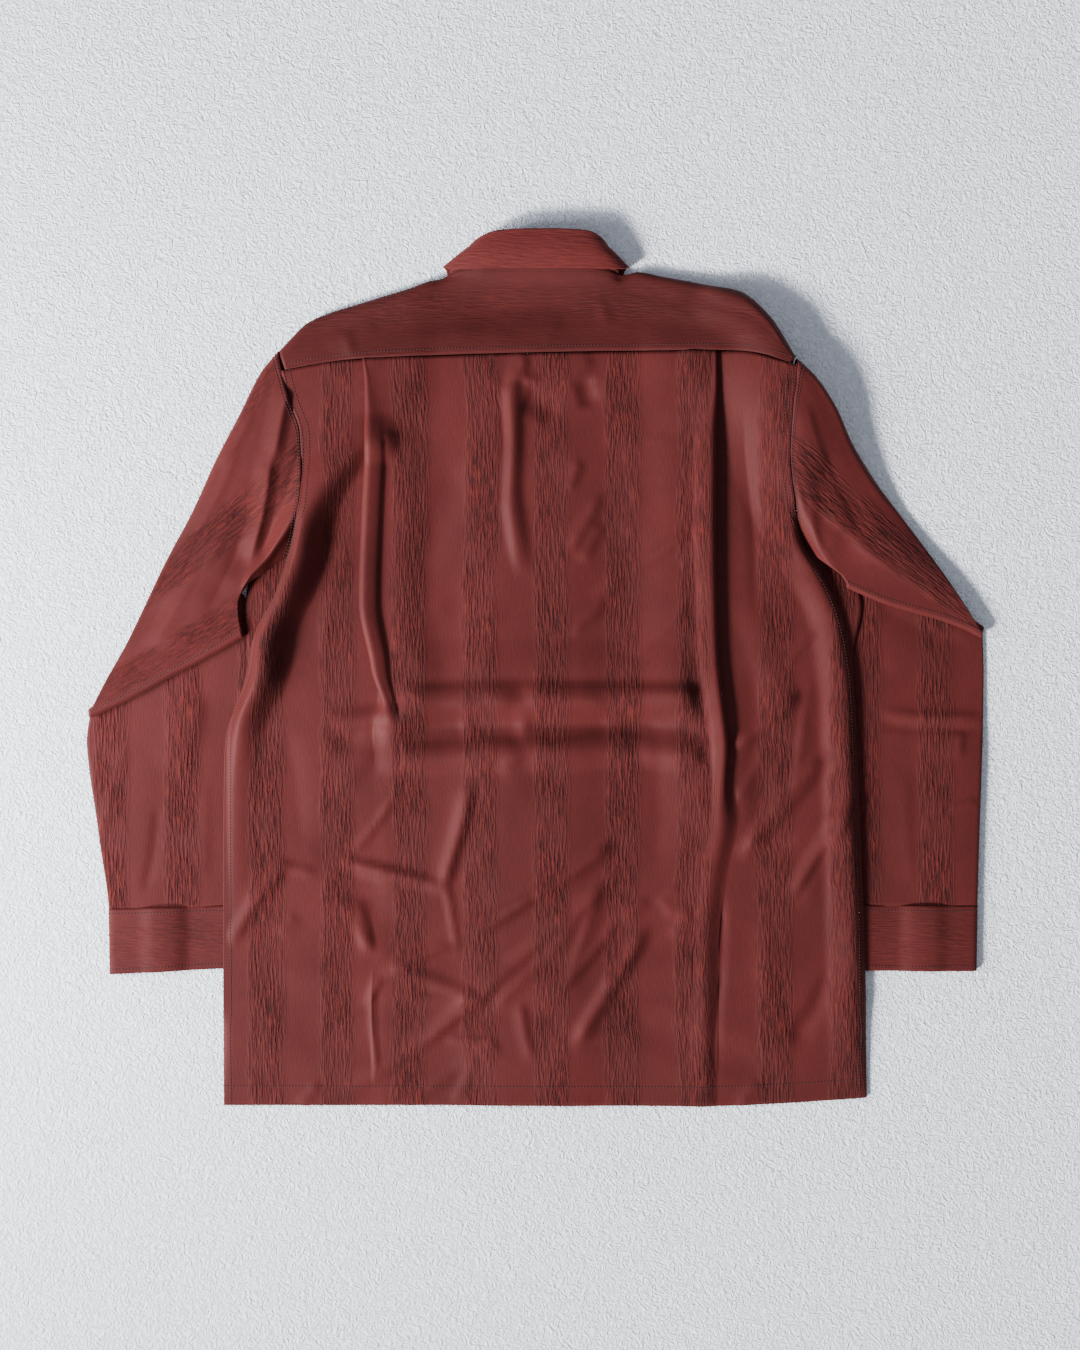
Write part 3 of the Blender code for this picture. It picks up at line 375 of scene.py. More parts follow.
def near_hem(y):
    """1 at the hem, 0 above the rows that bend to it."""
    return smooth((HEM_BLEND_Y - y) / (HEM_BLEND_Y - HEM_Y))


def side_edges(y):
    """Left and right edge of the body at a height on the shirt."""
    return by_y(LEFT_EDGE, "x", y), by_y(RIGHT_EDGE, "x", y)


def front_height(x, y):
    """Middle of the lowest layer: on the surface, or on what lies under it."""
    left, right = side_edges(y)
    inward = np.minimum(x - left, right - x)
    forearm = FOREARM_LIFT * smooth((48 - inward) / 24) * smooth((112 - y) / 60)
    forearm = forearm * smooth((y + 343) / 36)
    placket = PLACKET_LIFT * smooth((75 - np.abs(x)) / 50)
    points = COLLAR_LIFT * smooth((135 - np.abs(x)) / 35) * smooth((y - 205) / 30)
    return FLOOR + np.maximum(np.maximum(forearm, placket), points)


def back_height(x, y):
    """Middle of the upper layer, away from the pleats."""
    x, y = np.broadcast_arrays(np.asarray(x, float), np.asarray(y, float))
    z = through(y, column(SWELL, "x"), column(SWELL, "y"))
    z = z + 3.4 * smooth((85 - np.abs(x)) / 60) * smooth((250 - y) / 60)
    for rows in (STANDING_FOLD, SHOULDER_RISE, SIDE_ROLL, MIDDLE_FOLD):
        z = z + ridge(x, y, rows)
    for row in CREASES:
        z = z + crease(x, y, row)
    left, right = side_edges(y)
    drop_left, drop_right = smooth((150 - y) / 45), smooth((160 - y) / 46)
    seam = front_height(x, y) + LAYER
    for inward, drop in ((x - left, drop_left), (right - x, drop_right)):
        rise = np.sqrt(np.clip(1 - (1 - np.clip(inward / 9, 0, 1)) ** 2, 0, 1))
        lowered = seam + (z - seam) * rise
        z = z + (lowered - z) * drop
    return np.maximum(z, seam + LAYER * smooth((62 - np.abs(x)) / 14))


def pleat_curve(overlap, roll, closed, level):
    """Half of the section through a pleat, from the side panel to the middle panel.

    The first column runs in from the fold edge, the second up from the side panel,
    and the third says how far the point keeps the level of the fold edge.
    """
    r, quarter = FOLD_RADIUS, math.pi / 2
    overlap = max(overlap, roll + 1.5)
    points = [(-5.0, 0.0, 0.0), (overlap * 0.5, 0.0, 1.0), (overlap, 0.0, 1.0)]
    for k in range(1, 4):
        a = -quarter + math.pi * k / 3
        points.append((overlap + r * math.cos(a), r + r * math.sin(a), 1.0))
    for k in range(5):
        a = -quarter - math.pi * k / 4
        points.append((roll + roll * math.cos(a), 2 * r + roll + roll * math.sin(a), 1.0))
    top = 2 * r + 2 * roll
    low = level + 0.2 * (top - level)
    points += [(roll * 2.0, top * 0.92, 1.0), (roll * 3.2, (top + low) / 2, 1.0)]
    foot = max(roll * 4.6, overlap + 2)
    points += [(foot, low if foot < overlap + 3 else level, 1.0), (foot + 14, level, 0.0)]
    folded = np.array(points)
    run = np.linspace(0, 1, len(points))
    open_x = folded[0, 0] + (folded[-1, 0] - folded[0, 0]) * run
    unfold, lower = min(max(2 * closed - 1, 0), 1), min(max(2 * closed, 0), 1)
    folded[:, 0] = open_x + (folded[:, 0] - open_x) * unfold
    ramp = top * smooth(run / 0.6) * (1 - (1 - level / top) * smooth((run - 0.6) / 0.4))
    folded[:, 1] = ramp + (folded[:, 1] - ramp) * unfold
    soft = 2.2 * hump((run - 0.5) * 2)
    folded[:, 1] = soft + (folded[:, 1] - soft) * lower
    return folded


def pressed(x, y, rows):
    """Height of sharp creases, each steep on one side of its line and flatter on the other."""
    z = np.zeros(np.shape(x))
    for c in rows:
        run_x, run_y = c.x1 - c.x0, c.y1 - c.y0
        length = math.hypot(run_x, run_y)
        along = ((x - c.x0) * run_x + (y - c.y0) * run_y) / length**2
        across = ((y - c.y0) * run_x - (x - c.x0) * run_y) / length
        across = across + 0.014 * length * np.sin(along * 5 + c.x0)
        gentle = c.width * (1.5 + math.sin(c.x0 + c.y1))
        off = np.where(across > 0, across / c.width, -across / gentle)
        ends = hump(np.clip(np.abs(along - 0.5) - 0.3, 0, None) / 0.32)
        z = z + c.height * np.clip(1 - off, 0, 1) ** 1.5 * ends
    return z


def rolled(x, y, rows):
    """Height of wide, soft rolls of cloth."""
    return sum(crease(x, y, row) for row in rows)


def down_each(grid):
    """Distance run down each column of a grid of points."""
    run = np.cumsum(np.linalg.norm(np.diff(grid, axis=0), axis=2), axis=0)
    return np.concatenate([np.zeros((1, grid.shape[1])), run])


MIDDLE_SHARES = np.array([0.14, 0.3, 0.4, 0.445, 0.485, 0.54, 0.64, 0.82])
ARMHOLE_ROWS = [270, 250, 226, 200, 170, 145, 122, 105]


def pleat_at(rows, y):
    """A pleat's values at a height on the shirt."""
    return [float(by_y(rows, name, y)) for name in ("x", "overlap", "roll", "closed")]


def back_row(y):
    """Section across the back at one height: x, and z above the body's level."""
    drop = float(near_top(y))
    left = float(by_y(LEFT_EDGE, "x", y + (YOKE_SEAM[0].y - TOP_Y) * drop))
    right = float(by_y(RIGHT_EDGE, "x", y + (YOKE_SEAM[-1].y - TOP_Y) * drop))
    lx, l_over, l_roll, l_closed = pleat_at(LEFT_PLEAT, y)
    rx, r_over, r_roll, r_closed = pleat_at(RIGHT_PLEAT, y)
    level = 4 * FOLD_RADIUS
    crest = max(float(by_y(STANDING_FOLD, "x", y)), left + 9)
    crest = min(crest, left + 34, lx - 45)
    x = [left + (crest - left) * t for t in (0, 0.13, 0.5, 1)]
    x += [crest + t for t in (10, 26)]
    x += list(np.linspace(crest + 26, lx - 5, 4)[1:-1])
    z = [0.0] * len(x)
    keep = [0.0] * len(x)
    curve = pleat_curve(l_over, l_roll, l_closed, level)
    x += list(lx + curve[:, 0])
    z += list(curve[:, 1])
    keep += list(curve[:, 2])
    other = pleat_curve(r_over, r_roll, r_closed, level)[::-1]
    start, stop = lx + curve[-1, 0], rx - other[0, 0]
    middle = start + (stop - start) * MIDDLE_SHARES
    x += list(middle)
    lift_left = curve[-1, 1] * smooth((start + 35 - middle) / 35)
    lift_right = other[0, 1] * smooth((middle - stop + 35) / 35)
    z += list(lift_left + lift_right)
    keep += [0.0] * len(middle)
    x += list(rx - other[:, 0])
    z += list(other[:, 1])
    keep += list(-other[:, 2])
    x += list(np.linspace(rx + 5, right - 26, 4)[1:])
    x += [right - t for t in (13, 5, 1, 0)]
    z += [0.0] * 7
    keep += [0.0] * 7
    return np.array(x), np.array(z), np.array(keep)


def cuts(rows, step):
    """How many parts each span between two columns is cut into."""
    longest = np.linalg.norm(np.diff(rows, axis=1), axis=2).max(axis=0)
    return np.maximum(1, np.ceil(longest / step)).astype(int)


def finer(points, parts):
    """A smooth line through the points, with each span cut into its parts."""
    step = np.maximum(np.linalg.norm(np.diff(points, axis=0), axis=1), 0.0001)
    run = running(step)
    at = [run[i] + step[i] * np.arange(n) / n for i, n in enumerate(parts)]
    at = np.concatenate(at + [run[-1:]])
    return np.column_stack([through(at, run, values) for values in points.T])


def finer_grid(points, step=GRID_STEP, closed=False):
    """A smooth sheet through a grid of points."""
    if closed:
        points = np.concatenate([points, points[:, :1]], axis=1)
    across = cuts(points, step)
    rows = np.array([finer(row, across) for row in points]).transpose(1, 0, 2)
    along = cuts(rows, step)
    grid = np.array([finer(line, along) for line in rows]).transpose(1, 0, 2)
    return grid[:, :-1] if closed else grid


def back_grid():
    """Points of the back, and the place of each on the flat cloth."""
    heights = [TOP_Y - TOP_ROW_STEP * k for k in range(TOP_ROWS)]
    heights += list(np.linspace(266, HEM_Y, LOWER_ROWS))
    sections = [back_row(y) for y in heights]
    coarse = np.array([np.column_stack(row) for row in sections])
    parts = cuts(coarse, GRID_STEP)
    start = running(parts)
    curve_count = len(pleat_curve(10, 4, 1, 4)[:, 0])
    left_flat = 4 + 2 + 2
    middle = left_flat + curve_count
    right_flat = middle + len(MIDDLE_SHARES) + curve_count
    marks = {
        "left": start[left_flat], "left_roll": start[left_flat + 6],
        "middle": start[middle + 3],
        "right_roll": start[right_flat - 7], "right": start[right_flat - 1],
    }
    grid, flat = [], []
    for y, row in zip(heights, coarse):
        x, lift, keep = finer(row, parts).T
        let_go = 1 - smooth(by_y(LEFT_PLEAT, "closed", y) * 2)
        lift = lift * (1 - OPEN_CALM * let_go * (x < x[marks["middle"]] - 40))
        y_at = y + (by_x(YOKE_SEAM, x) - SEAM - TOP_Y) * near_top(y)
        y_at = y_at + (by_x(HEM, x) - HEM_Y) * near_hem(y)
        level = back_height(x, y_at)
        creased = pressed(x, y_at, BACK_CREASES) + rolled(x, y_at, BACK_ROLLS)
        creased = creased * smooth((x + 285) / 25) * smooth((302 - x) / 20)
        for way, pleat in ((1, LEFT_PLEAT), (-1, RIGHT_PLEAT)):
            share = np.clip(keep * way, 0, 1) * smooth(by_y(pleat, "closed", y) * 2.5)
            edge = back_height(pleat_at(pleat, y)[0], y)
            level = level + (edge - level) * share
            creased = creased * (1 - share)
        z = np.maximum(level + lift + creased, front_height(x, y_at) + LAYER * 0.9)
        grid.append(np.column_stack([x, y_at, z]))
        run = running(np.hypot(np.diff(x), np.diff(z)))
        u = run - run[marks["middle"]] + x[marks["middle"]]
        for edge, pleat, shift in (
            ("left", LEFT_PLEAT, LEFT_STRIPE_SHIFT), ("right", RIGHT_PLEAT, RIGHT_STRIPE_SHIFT),
        ):
            i, j = marks[edge], marks[edge + "_roll"]
            closed = by_y(pleat, "closed", y)
            beside = np.abs(x - x[i]) / (SHIFT_SPREAD * (1.2 - closed))
            side = run - run[i] + x[i] + shift * smooth(beside)
            if edge == "left":
                hidden = np.linspace(side[i], u[j], j - i + 1)
                u = np.concatenate([side[:i], hidden, u[j + 1:]])
            else:
                hidden = np.linspace(u[j], side[i], i - j + 1)
                u = np.concatenate([u[:j], hidden, side[i + 1:]])
        flat.append(np.column_stack([u, y_at]))
    return np.array(grid), np.array(flat)


def shell(name, grid, flat, stuff, closed=False, wall=SHEER):
    """A cloth piece on its grid, with its place on the flat cloth as a UV map in mm."""
    rows, columns = grid.shape[:2]
    spans = columns if closed else columns - 1
    r, c = np.meshgrid(np.arange(rows - 1), np.arange(spans), indexing="ij")
    n = (c + 1) % columns
    this, after = r * columns, (r + 1) * columns
    faces = np.stack([this + c, this + n, after + n, after + c], axis=-1).reshape(-1, 4)
    mesh = bpy.data.meshes.new(name)
    mesh.from_pydata((grid.reshape(-1, 3) * MM).tolist(), [], faces.tolist())
    grain = mesh.uv_layers.new(name="grain")
    grain.data.foreach_set("uv", flat.reshape(-1, 2)[faces.ravel()].astype(np.float32).ravel())
    mesh.shade_smooth()
    mesh.materials.append(stuff)
    piece = placed(name, mesh)
    thick = piece.modifiers.new("wall", "SOLIDIFY")
    thick.thickness = wall * MM
    thick.offset = 0
    return piece


WRINKLE_WIDE = 1.9
WRINKLE_LONG = 17.0
YARN_WIDE = 0.9
YARN_LONG = 9.0
WRINKLE_DEPTH = 0.0012
STRIPE_WANDER = 9.0


def crinkle_stripe(name, crinkled=1.0, plain=0.0, painted_light_tint=1.0):
    """Woven viscose with crinkled stripes of overtwisted yarn between satin stripes.

    The eye sees fine, matt wrinkles about 2 mm apart and 5 to 20 mm long along the
    yarn, and smooth bands with a soft shine. plain adds the same wrinkles all over.
    painted_light_tint scales every colour: below 1 it is painted shade, above 1 painted light.
    """
    made, tree, shader = new_material(name)
    place = add(tree, "ShaderNodeUVMap", uv_map="grain").outputs["UV"]

    def noise(across, along, detail, **more):
        """Noise with this many features a millimetre across the yarn and along it."""
        sides = {0: place, 1: (across, along, 1)}
        scaled = add(tree, "ShaderNodeVectorMath", sides, operation="MULTIPLY")
        values = {"Vector": scaled.outputs[0], "Scale": 1.0, "Detail": detail, **more}
        return add(tree, "ShaderNodeTexNoise", values).outputs["Fac"]

    def ranged(value, low, high, start=0.0, stop=1.0, **how):
        """Value from low to high, as start to stop."""
        limits = {"Value": value, "From Min": low, "From Max": high, "To Min": start, "To Max": stop}
        return add(tree, "ShaderNodeMapRange", limits, **how).outputs["Result"]

    def maths(operation, *values):
        """One sum on values or sockets."""
        return add(tree, "ShaderNodeMath", dict(enumerate(values)), operation=operation).outputs[0]

    def shade(hex_colour):
        """A colour, darker or lighter by the piece's painted light or painted shade."""
        return tuple(c * painted_light_tint for c in paint(hex_colour)[:3]) + (1.0,)

    u = add(tree, "ShaderNodeSeparateXYZ", {"Vector": place}).outputs["X"]
    shifted = maths("MULTIPLY_ADD", noise(0.05, 0.018, 2.0), STRIPE_WANDER, u)
    from_middle = maths("SUBTRACT", shifted, STRIPE_AT + STRIPE_WANDER / 2)
    beside = maths("PINGPONG", from_middle, STRIPE_REPEAT / 2)
    edge = CRINKLED_WIDE / 2
    stripe = ranged(beside, edge - 4.5, edge + 5.0, crinkled, plain, interpolation_type="SMOOTHSTEP")
    pressed_flat = ranged(noise(0.03, 0.02, 1.0), 0.38, 0.6, 0.5, 1.0)
    stripe = maths("MULTIPLY", stripe, pressed_flat)
    wrinkle = noise(1 / WRINKLE_WIDE, 1 / WRINKLE_LONG, 2.5, Roughness=0.6, Distortion=0.12)
    sharp = ranged(wrinkle, 0.36, 0.65)
    fine = noise(1 / YARN_WIDE, 1 / YARN_LONG, 2.0)
    relief = maths("MULTIPLY_ADD", fine, 0.18, maths("MULTIPLY", sharp, stripe))
    bump = add(tree, "ShaderNodeBump", {"Height": relief, "Strength": 0.8, "Distance": WRINKLE_DEPTH})
    tree.links.new(bump.outputs["Normal"], shader.inputs["Normal"])

    # Crinkled stripes: darker where the wrinkles sink and lighter on their ridges, painted shade in the
    # hollows and painted highlight on the ridges.
    crepe_painted_shade = mixed(tree, sharp, shade("#321112"), shade("#541D1A"))
    satin = mixed(tree, fine, shade("#401515"), shade("#531D1B"))
    cloth_colour = mixed(tree, stripe, satin, crepe_painted_shade)
    tone = ranged(noise(0.016, 0.011, 3.0), 0.25, 0.75, 0.8, 1.15)
    toned = add(tree, "ShaderNodeVectorMath", {0: cloth_colour, "Scale": tone}, operation="SCALE")
    tree.links.new(toned.outputs[0], shader.inputs["Base Color"])
    tree.links.new(ranged(stripe, 0.0, 1.0, 0.62, 0.85), shader.inputs["Roughness"])
    shader.inputs["Sheen Weight"].default_value = 0.1
    shader.inputs["Sheen Roughness"].default_value = 0.45
    shader.inputs["Sheen Tint"].default_value = shade("#D98E80")
    shader.inputs["Specular IOR Level"].default_value = 0.13
    return made


def finish_cloth(piece, node):
    """The shell takes its solid's place and rides on the root body."""
    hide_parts(node)
    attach(piece, "root")


YOKE_SEAM = table(Line, [
    (-234, 277), (-181, 286), (-130, 289), (-24, 293), (98, 295), (190, 294), (240, 281),
])
striped_cloth = crinkle_stripe("crinkle_stripe_viscose")
back_points, back_flat = back_grid()
back = shell("back_panel", back_points, back_flat, striped_cloth)
finish_cloth(back, "back")


# Seams of the back. Lockstitched topstitching in matching thread holds the turned hem
# and the side seams; each stitch is a short, slightly sunk bead of thread.
STITCH_PITCH = 3.0
THREAD = 0.75
HEM_DEPTH = 18.0
SIDE_SEAM_DEPTH = 7.0
ARMHOLE_DEPTHS = (2.0, 8.0)
ARMHOLE_SHARES = {"left": 0.28, "right": 0.30}  # how far down each side the armhole goes


def thread_with_painted_seam_shade():
    """Spun polyester sewing thread: matt, and darker than the cloth as painted shade of the sunk seam
    line.
    """
    made, tree, shader = new_material("sewing_thread_painted_seam_shade")
    place = add(tree, "ShaderNodeTexCoord").outputs["Object"]
    ply = add(tree, "ShaderNodeTexNoise", {"Vector": place, "Scale": 900.0, "Detail": 2.0})
    # Painted shade: the thread's dark colour stands in for the shadow along the sunk seam.
    colour = mixed(tree, ply.outputs["Fac"], paint("#1E0A0A"), paint("#3A1412"))
    tree.links.new(colour, shader.inputs["Base Color"])
    shader.inputs["Roughness"].default_value = 0.7
    return made


def stitch_tree(thread):
    """Geometry nodes: one bead of thread at each pitch along every seam line."""
    tree = bpy.data.node_groups.new("seam_stitches", "GeometryNodeTree")
    tree.interface.new_socket("Seam lines", in_out="INPUT", socket_type="NodeSocketGeometry")
    for name, value in (("Pitch", STITCH_PITCH * MM), ("Thread", THREAD * MM)):
        socket = tree.interface.new_socket(name, in_out="INPUT", socket_type="NodeSocketFloat")
        socket.default_value = value
    tree.interface.new_socket("Stitches", in_out="OUTPUT", socket_type="NodeSocketGeometry")
    given = add(tree, "NodeGroupInput")
    line = add(tree, "GeometryNodeMeshToCurve", {"Mesh": given.outputs["Seam lines"]})
    spaced = add(tree, "GeometryNodeResampleCurve", {
        "Curve": line.outputs["Curve"], "Length": given.outputs["Pitch"],
    }, mode="LENGTH")
    bead = add(tree, "GeometryNodeMeshUVSphere", {"Segments": 6, "Rings": 4, "Radius": 1.0})
    way = add(tree, "GeometryNodeInputTangent")
    turned = add(tree, "FunctionNodeAlignRotationToVector", {"Vector": way.outputs["Tangent"]}, axis="X")
    long_half = add(tree, "ShaderNodeMath", {0: given.outputs["Pitch"], 1: 0.40}, operation="MULTIPLY")
    thin_half = add(tree, "ShaderNodeMath", {0: given.outputs["Thread"], 1: 0.5}, operation="MULTIPLY")
    thin = thin_half.outputs[0]
    size = add(tree, "ShaderNodeCombineXYZ", {"X": long_half.outputs[0], "Y": thin, "Z": thin})
    beads = add(tree, "GeometryNodeInstanceOnPoints", {
        "Points": spaced.outputs["Curve"], "Instance": bead.outputs["Mesh"],
        "Rotation": turned.outputs["Rotation"], "Scale": size.outputs["Vector"],
    })
    real = add(tree, "GeometryNodeRealizeInstances", {"Geometry": beads.outputs["Instances"]})
    smooth_beads = add(tree, "GeometryNodeSetShadeSmooth", {"Geometry": real.outputs["Geometry"]})
    coloured = add(tree, "GeometryNodeSetMaterial", {
        "Geometry": smooth_beads.outputs["Geometry"], "Material": thread,
    })
    end = add(tree, "NodeGroupOutput")
    tree.links.new(coloured.outputs["Geometry"], end.inputs["Stitches"])
    return tree


thread = thread_with_painted_seam_shade()
stitches = stitch_tree(thread)


def facing(grid):
    """Unit normals of a grid's points, on the side that mostly looks up."""
    down, over = np.gradient(grid, axis=0), np.gradient(grid, axis=1)
    normal = np.cross(over, down)
    normal = normal * (1 if normal[:, :, 2].sum() > 0 else -1)
    return normal / np.maximum(np.linalg.norm(normal, axis=2, keepdims=True), 1e-9)


def seam_line(grid, edge, depth, side=1, first=0.0, last=1.0, wall=SHEER):
    """A line on a sheet at a depth from one of its edges, on one face of it."""
    normal = facing(grid) * side
    lines, ways = {
        "top": (grid.transpose(1, 0, 2), normal.transpose(1, 0, 2)),
        "bottom": (grid[::-1].transpose(1, 0, 2), normal[::-1].transpose(1, 0, 2)),
        "left": (grid, normal),
        "right": (grid[:, ::-1], normal[:, ::-1]),
    }[edge]
    start, stop = int(first * (len(lines) - 1)), int(math.ceil(last * (len(lines) - 1))) + 1
    points = []
    for line, way in zip(lines[start:stop], ways[start:stop]):
        run = running(np.linalg.norm(np.diff(line, axis=0), axis=1))
        at = [np.interp(depth, run, values) for values in line.T]
        out = np.array([np.interp(depth, run, values) for values in way.T])
        points.append(np.array(at) + out * (wall / 2 + THREAD * 0.2))
    return np.array(points)


def sew(name, lines, pitch=STITCH_PITCH):
    """All the stitches of one piece, made from its seam lines."""
    points, edges = [], []
    for line in lines:
        edges += [(len(points) + i, len(points) + i + 1) for i in range(len(line) - 1)]
        points += (np.asarray(line) * MM).tolist()
    mesh = bpy.data.meshes.new(name)
    mesh.from_pydata(points, edges, [])
    guide = placed(name + "_guide", mesh)
    maker = guide.modifiers.new("stitches", "NODES")
    maker.node_group = stitches
    inputs = [item for item in stitches.interface.items_tree if item.in_out == "INPUT"]
    sockets = {item.name: item.identifier for item in inputs}
    maker[sockets["Pitch"]] = pitch * MM
    maker[sockets["Thread"]] = THREAD * MM
    whole = bpy.data.meshes.new_from_object(guide.evaluated_get(bpy.context.evaluated_depsgraph_get()))
    bpy.data.objects.remove(guide, do_unlink=True)
    whole.name = name
    piece = placed(name, whole)
    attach(piece, "root")
    return piece


sew("back_stitches", [
    seam_line(back_points, "bottom", HEM_DEPTH, first=0.005, last=0.995),
    *(seam_line(back_points, edge, depth, last=stop)
      for edge, stop in ARMHOLE_SHARES.items() for depth in ARMHOLE_DEPTHS),
    *(seam_line(back_points, edge, SIDE_SEAM_DEPTH, first=0.30) for edge in ("right", "left")),
])


# Yoke. One layer shows: a straight strip over both shoulders, cut across the cloth so
# that its yarns lie level, folded over the shoulder line and sewn to the fronts.
LEFT_SHOULDER = table(Line, [
    (-239, 294), (-227, 307), (-209, 324), (-181, 334), (-153, 343), (-127, 351), (-110, 356),
    (-94, 362), (-81, 368),
])
RIGHT_SHOULDER = table(Line, [
    (81, 372), (92, 370), (108, 367), (136, 362), (166, 356), (192, 350), (203, 344), (218, 327),
    (232, 306), (244, 286),
])
Ring = namedtuple("Ring", "at base_x base_y base_z roll_x roll_y roll_z edge_x edge_y edge_z")
COLLAR = table(Ring, [
    (0.00, 0, 373, 15.5, 0, 405.5, 21.0, 0, 371, 20.6),
    (0.15, 30, 373, 15.2, 26, 405, 20.8, 32, 371, 20.2),
    (0.30, 58, 372.5, 14.2, 47, 402.5, 19.0, 62, 370.5, 18.6),
    (0.42, 73, 371, 11.6, 59, 395, 14.6, 81, 371.5, 14.4),
    (0.50, 78.5, 369, 8.2, 64, 389, 9.2, 86.5, 374, 8.4),
    (0.58, 76, 364, 4.6, 62, 383, 4.8, 84, 373, 1.2),
    (0.70, 62, 350, 3.2, 51, 374, 3.2, 78, 345, 0.7),
    (0.85, 34, 317, 3.2, 28, 345, 3.2, 66, 285, 0.7),
    (1.00, 0, 293, 3.2, 0, 322, 3.2, 30, 246, 0.7),
])
YOKE_STITCH_DEPTH = 5.5
FRONT_STITCH_DEPTH = 4.0
YOKE_CREASES = table(Crease, [
    (-120, 338, -96, 345, 1.1, 5), (-60, 330, 40, 338, -1.6, 26), (60, 348, 150, 330, 1.2, 22),
    (-190, 300, -150, 322, 1.2, 12), (60, 345, 70, 318, 0.9, 6), (8, 305, 22, 322, 0.8, 7),
    (-170, 292, -176, 312, 1.3, 9), (120, 300, 215, 310, 1.2, 18), (-110, 305, -20, 312, 1.0, 16),
    (150, 345, 205, 325, -1.0, 12),
])
YOKE_ROLLS = table(Crease, [
    (-95, 347, 110, 352, -4.6, 36), (-60, 369, 70, 370, 2.6, 10), (-55, 379, 72, 381, -5.0, 7),
    (-120, 300, 140, 296, 1.5, 26), (165, 352, 236, 306, 5.0, 38),
])


def collar_point(at, part):
    """A point of the left half of the collar: part is base, roll or edge."""
    knots = column(COLLAR, "at")
    return np.array([through(at, knots, column(COLLAR, f"{part}_{axis}")) for axis in "xyz"])


FOOT_SHARE = 0.975
YOKE_SHARES = [0, 0.07, 0.18, 0.34, 0.52, 0.7, 0.86, 1]  # from the armhole to the neck
YOKE_CORNER = [(0.64, 0.9, 93), (0.57, 0.6, 92), (0.50, 0.0, 85)]
YOKE_NECK = [0.42, 0.30, 0.15]
NECK_STATIONS = [
    0, 0.075, 0.15, 0.225, 0.30, 0.36, 0.42, 0.46, 0.50, 0.535, 0.57, 0.605,
    0.64, 0.70, 0.76, 0.82, 0.88, 0.94, 1.0,
]


def pleat_step(x):
    """How far the folded pleats lift the middle panel at the yoke's seam."""
    inward = min(x - LEFT_PLEAT[0].x, RIGHT_PLEAT[0].x - x)
    return 4 * FOLD_RADIUS * float(smooth((inward + 6) / 8) * smooth((72 - inward) / 35))


def yoke_column(side, foot_x, end, outer, share):
    """One strip of the yoke from the back seam over the shoulder to the front."""
    shoulder = LEFT_SHOULDER if side < 0 else RIGHT_SHOULDER
    foot = np.array([foot_x, float(by_x(YOKE_SEAM, foot_x)) + SEAM * 0.5])
    tip = np.array([outer, float(by_x(shoulder, outer))])
    low = float(front_height(outer, tip[1] - 12))
    near = end[:2] + (foot - end[:2]) * (1.6 / np.linalg.norm(foot - end[:2]))
    turn = near + (tip - near) * share
    depth = np.linalg.norm(foot - turn)
    start = turn + (foot - turn) * (min(8, 0.45 * depth) / depth)
    top = float(back_height(*start))
    round_z = low + min((top - low) * 0.5, 6.5)
    line = []
    for t in (0, 0.25, 0.5, 0.75, 1):
        x, y = foot + (start - foot) * t
        line.append(np.array([x, y, back_height(x, y) + pleat_step(x) * (1 - t) ** 2]))
    near_z = end[2] + (top - end[2]) * 0.25
    turn_z = near_z + (round_z - near_z) * share
    shallow = start + (turn - start) * (0.75 if share else 0.5)
    line.append(np.append(shallow, top + (turn_z - top) * (0.35 if share else 0.5)))
    line.append(np.append(turn, turn_z))
    under = turn + (end[:2] - turn) * 0.16
    under_z = low + (turn_z - low) * 0.25
    under_z = turn_z + (under_z - turn_z) * share + (end[2] - turn_z) * 0.4 * (1 - share)
    line.append(np.append(under, under_z))
    inside = turn + (end[:2] - turn) * 0.42
    line.append(np.append(inside, end[2] + (near_z - end[2]) * 0.2 * (1 - share)))
    line.append(end)
    return line


def shoulder_columns(side):
    """Where the strips of the yoke cross the shoulder fold, from the armhole in."""
    start, stop = (-237.5, -96) if side < 0 else (242.0, 96)
    return [start + (stop - start) * share for share in YOKE_SHARES]


def front_seam(outer, side):
    """End of the yoke under the shoulder, where the front is sewn on."""
    shoulder = LEFT_SHOULDER if side < 0 else RIGHT_SHOULDER
    y = float(by_x(shoulder, outer)) - 21
    x = outer * 0.985
    return np.array([x, y, float(front_height(x, y))])


def yoke_strips():
    """The yoke's strips from left to right, each from the back seam to the front."""
    strips = {}
    for side in (-1, 1):
        half = []
        for outer in shoulder_columns(side):
            half.append(yoke_column(side, outer * FOOT_SHARE, front_seam(outer, side), outer, 1.0))
        for at, share, outer in YOKE_CORNER:
            end = collar_point(at, "base") * [side, 1, 1] + [side * 1.1, -0.9, 0]
            half.append(yoke_column(side, side * outer * 0.96, end, side * outer, share))
        for at in YOKE_NECK:
            end = collar_point(at, "base") * [side, 1, 1] - [0, SEAM, 0]
            half.append(yoke_column(side, end[0] * 1.02, end, side * 84.0, 0.0))
        strips[side] = half
    middle = yoke_column(-1, 0.0, collar_point(0, "base") - [0, SEAM, 0], -84.0, 0.0)
    return np.array(strips[-1] + [middle] + strips[1][::-1]).transpose(1, 0, 2)


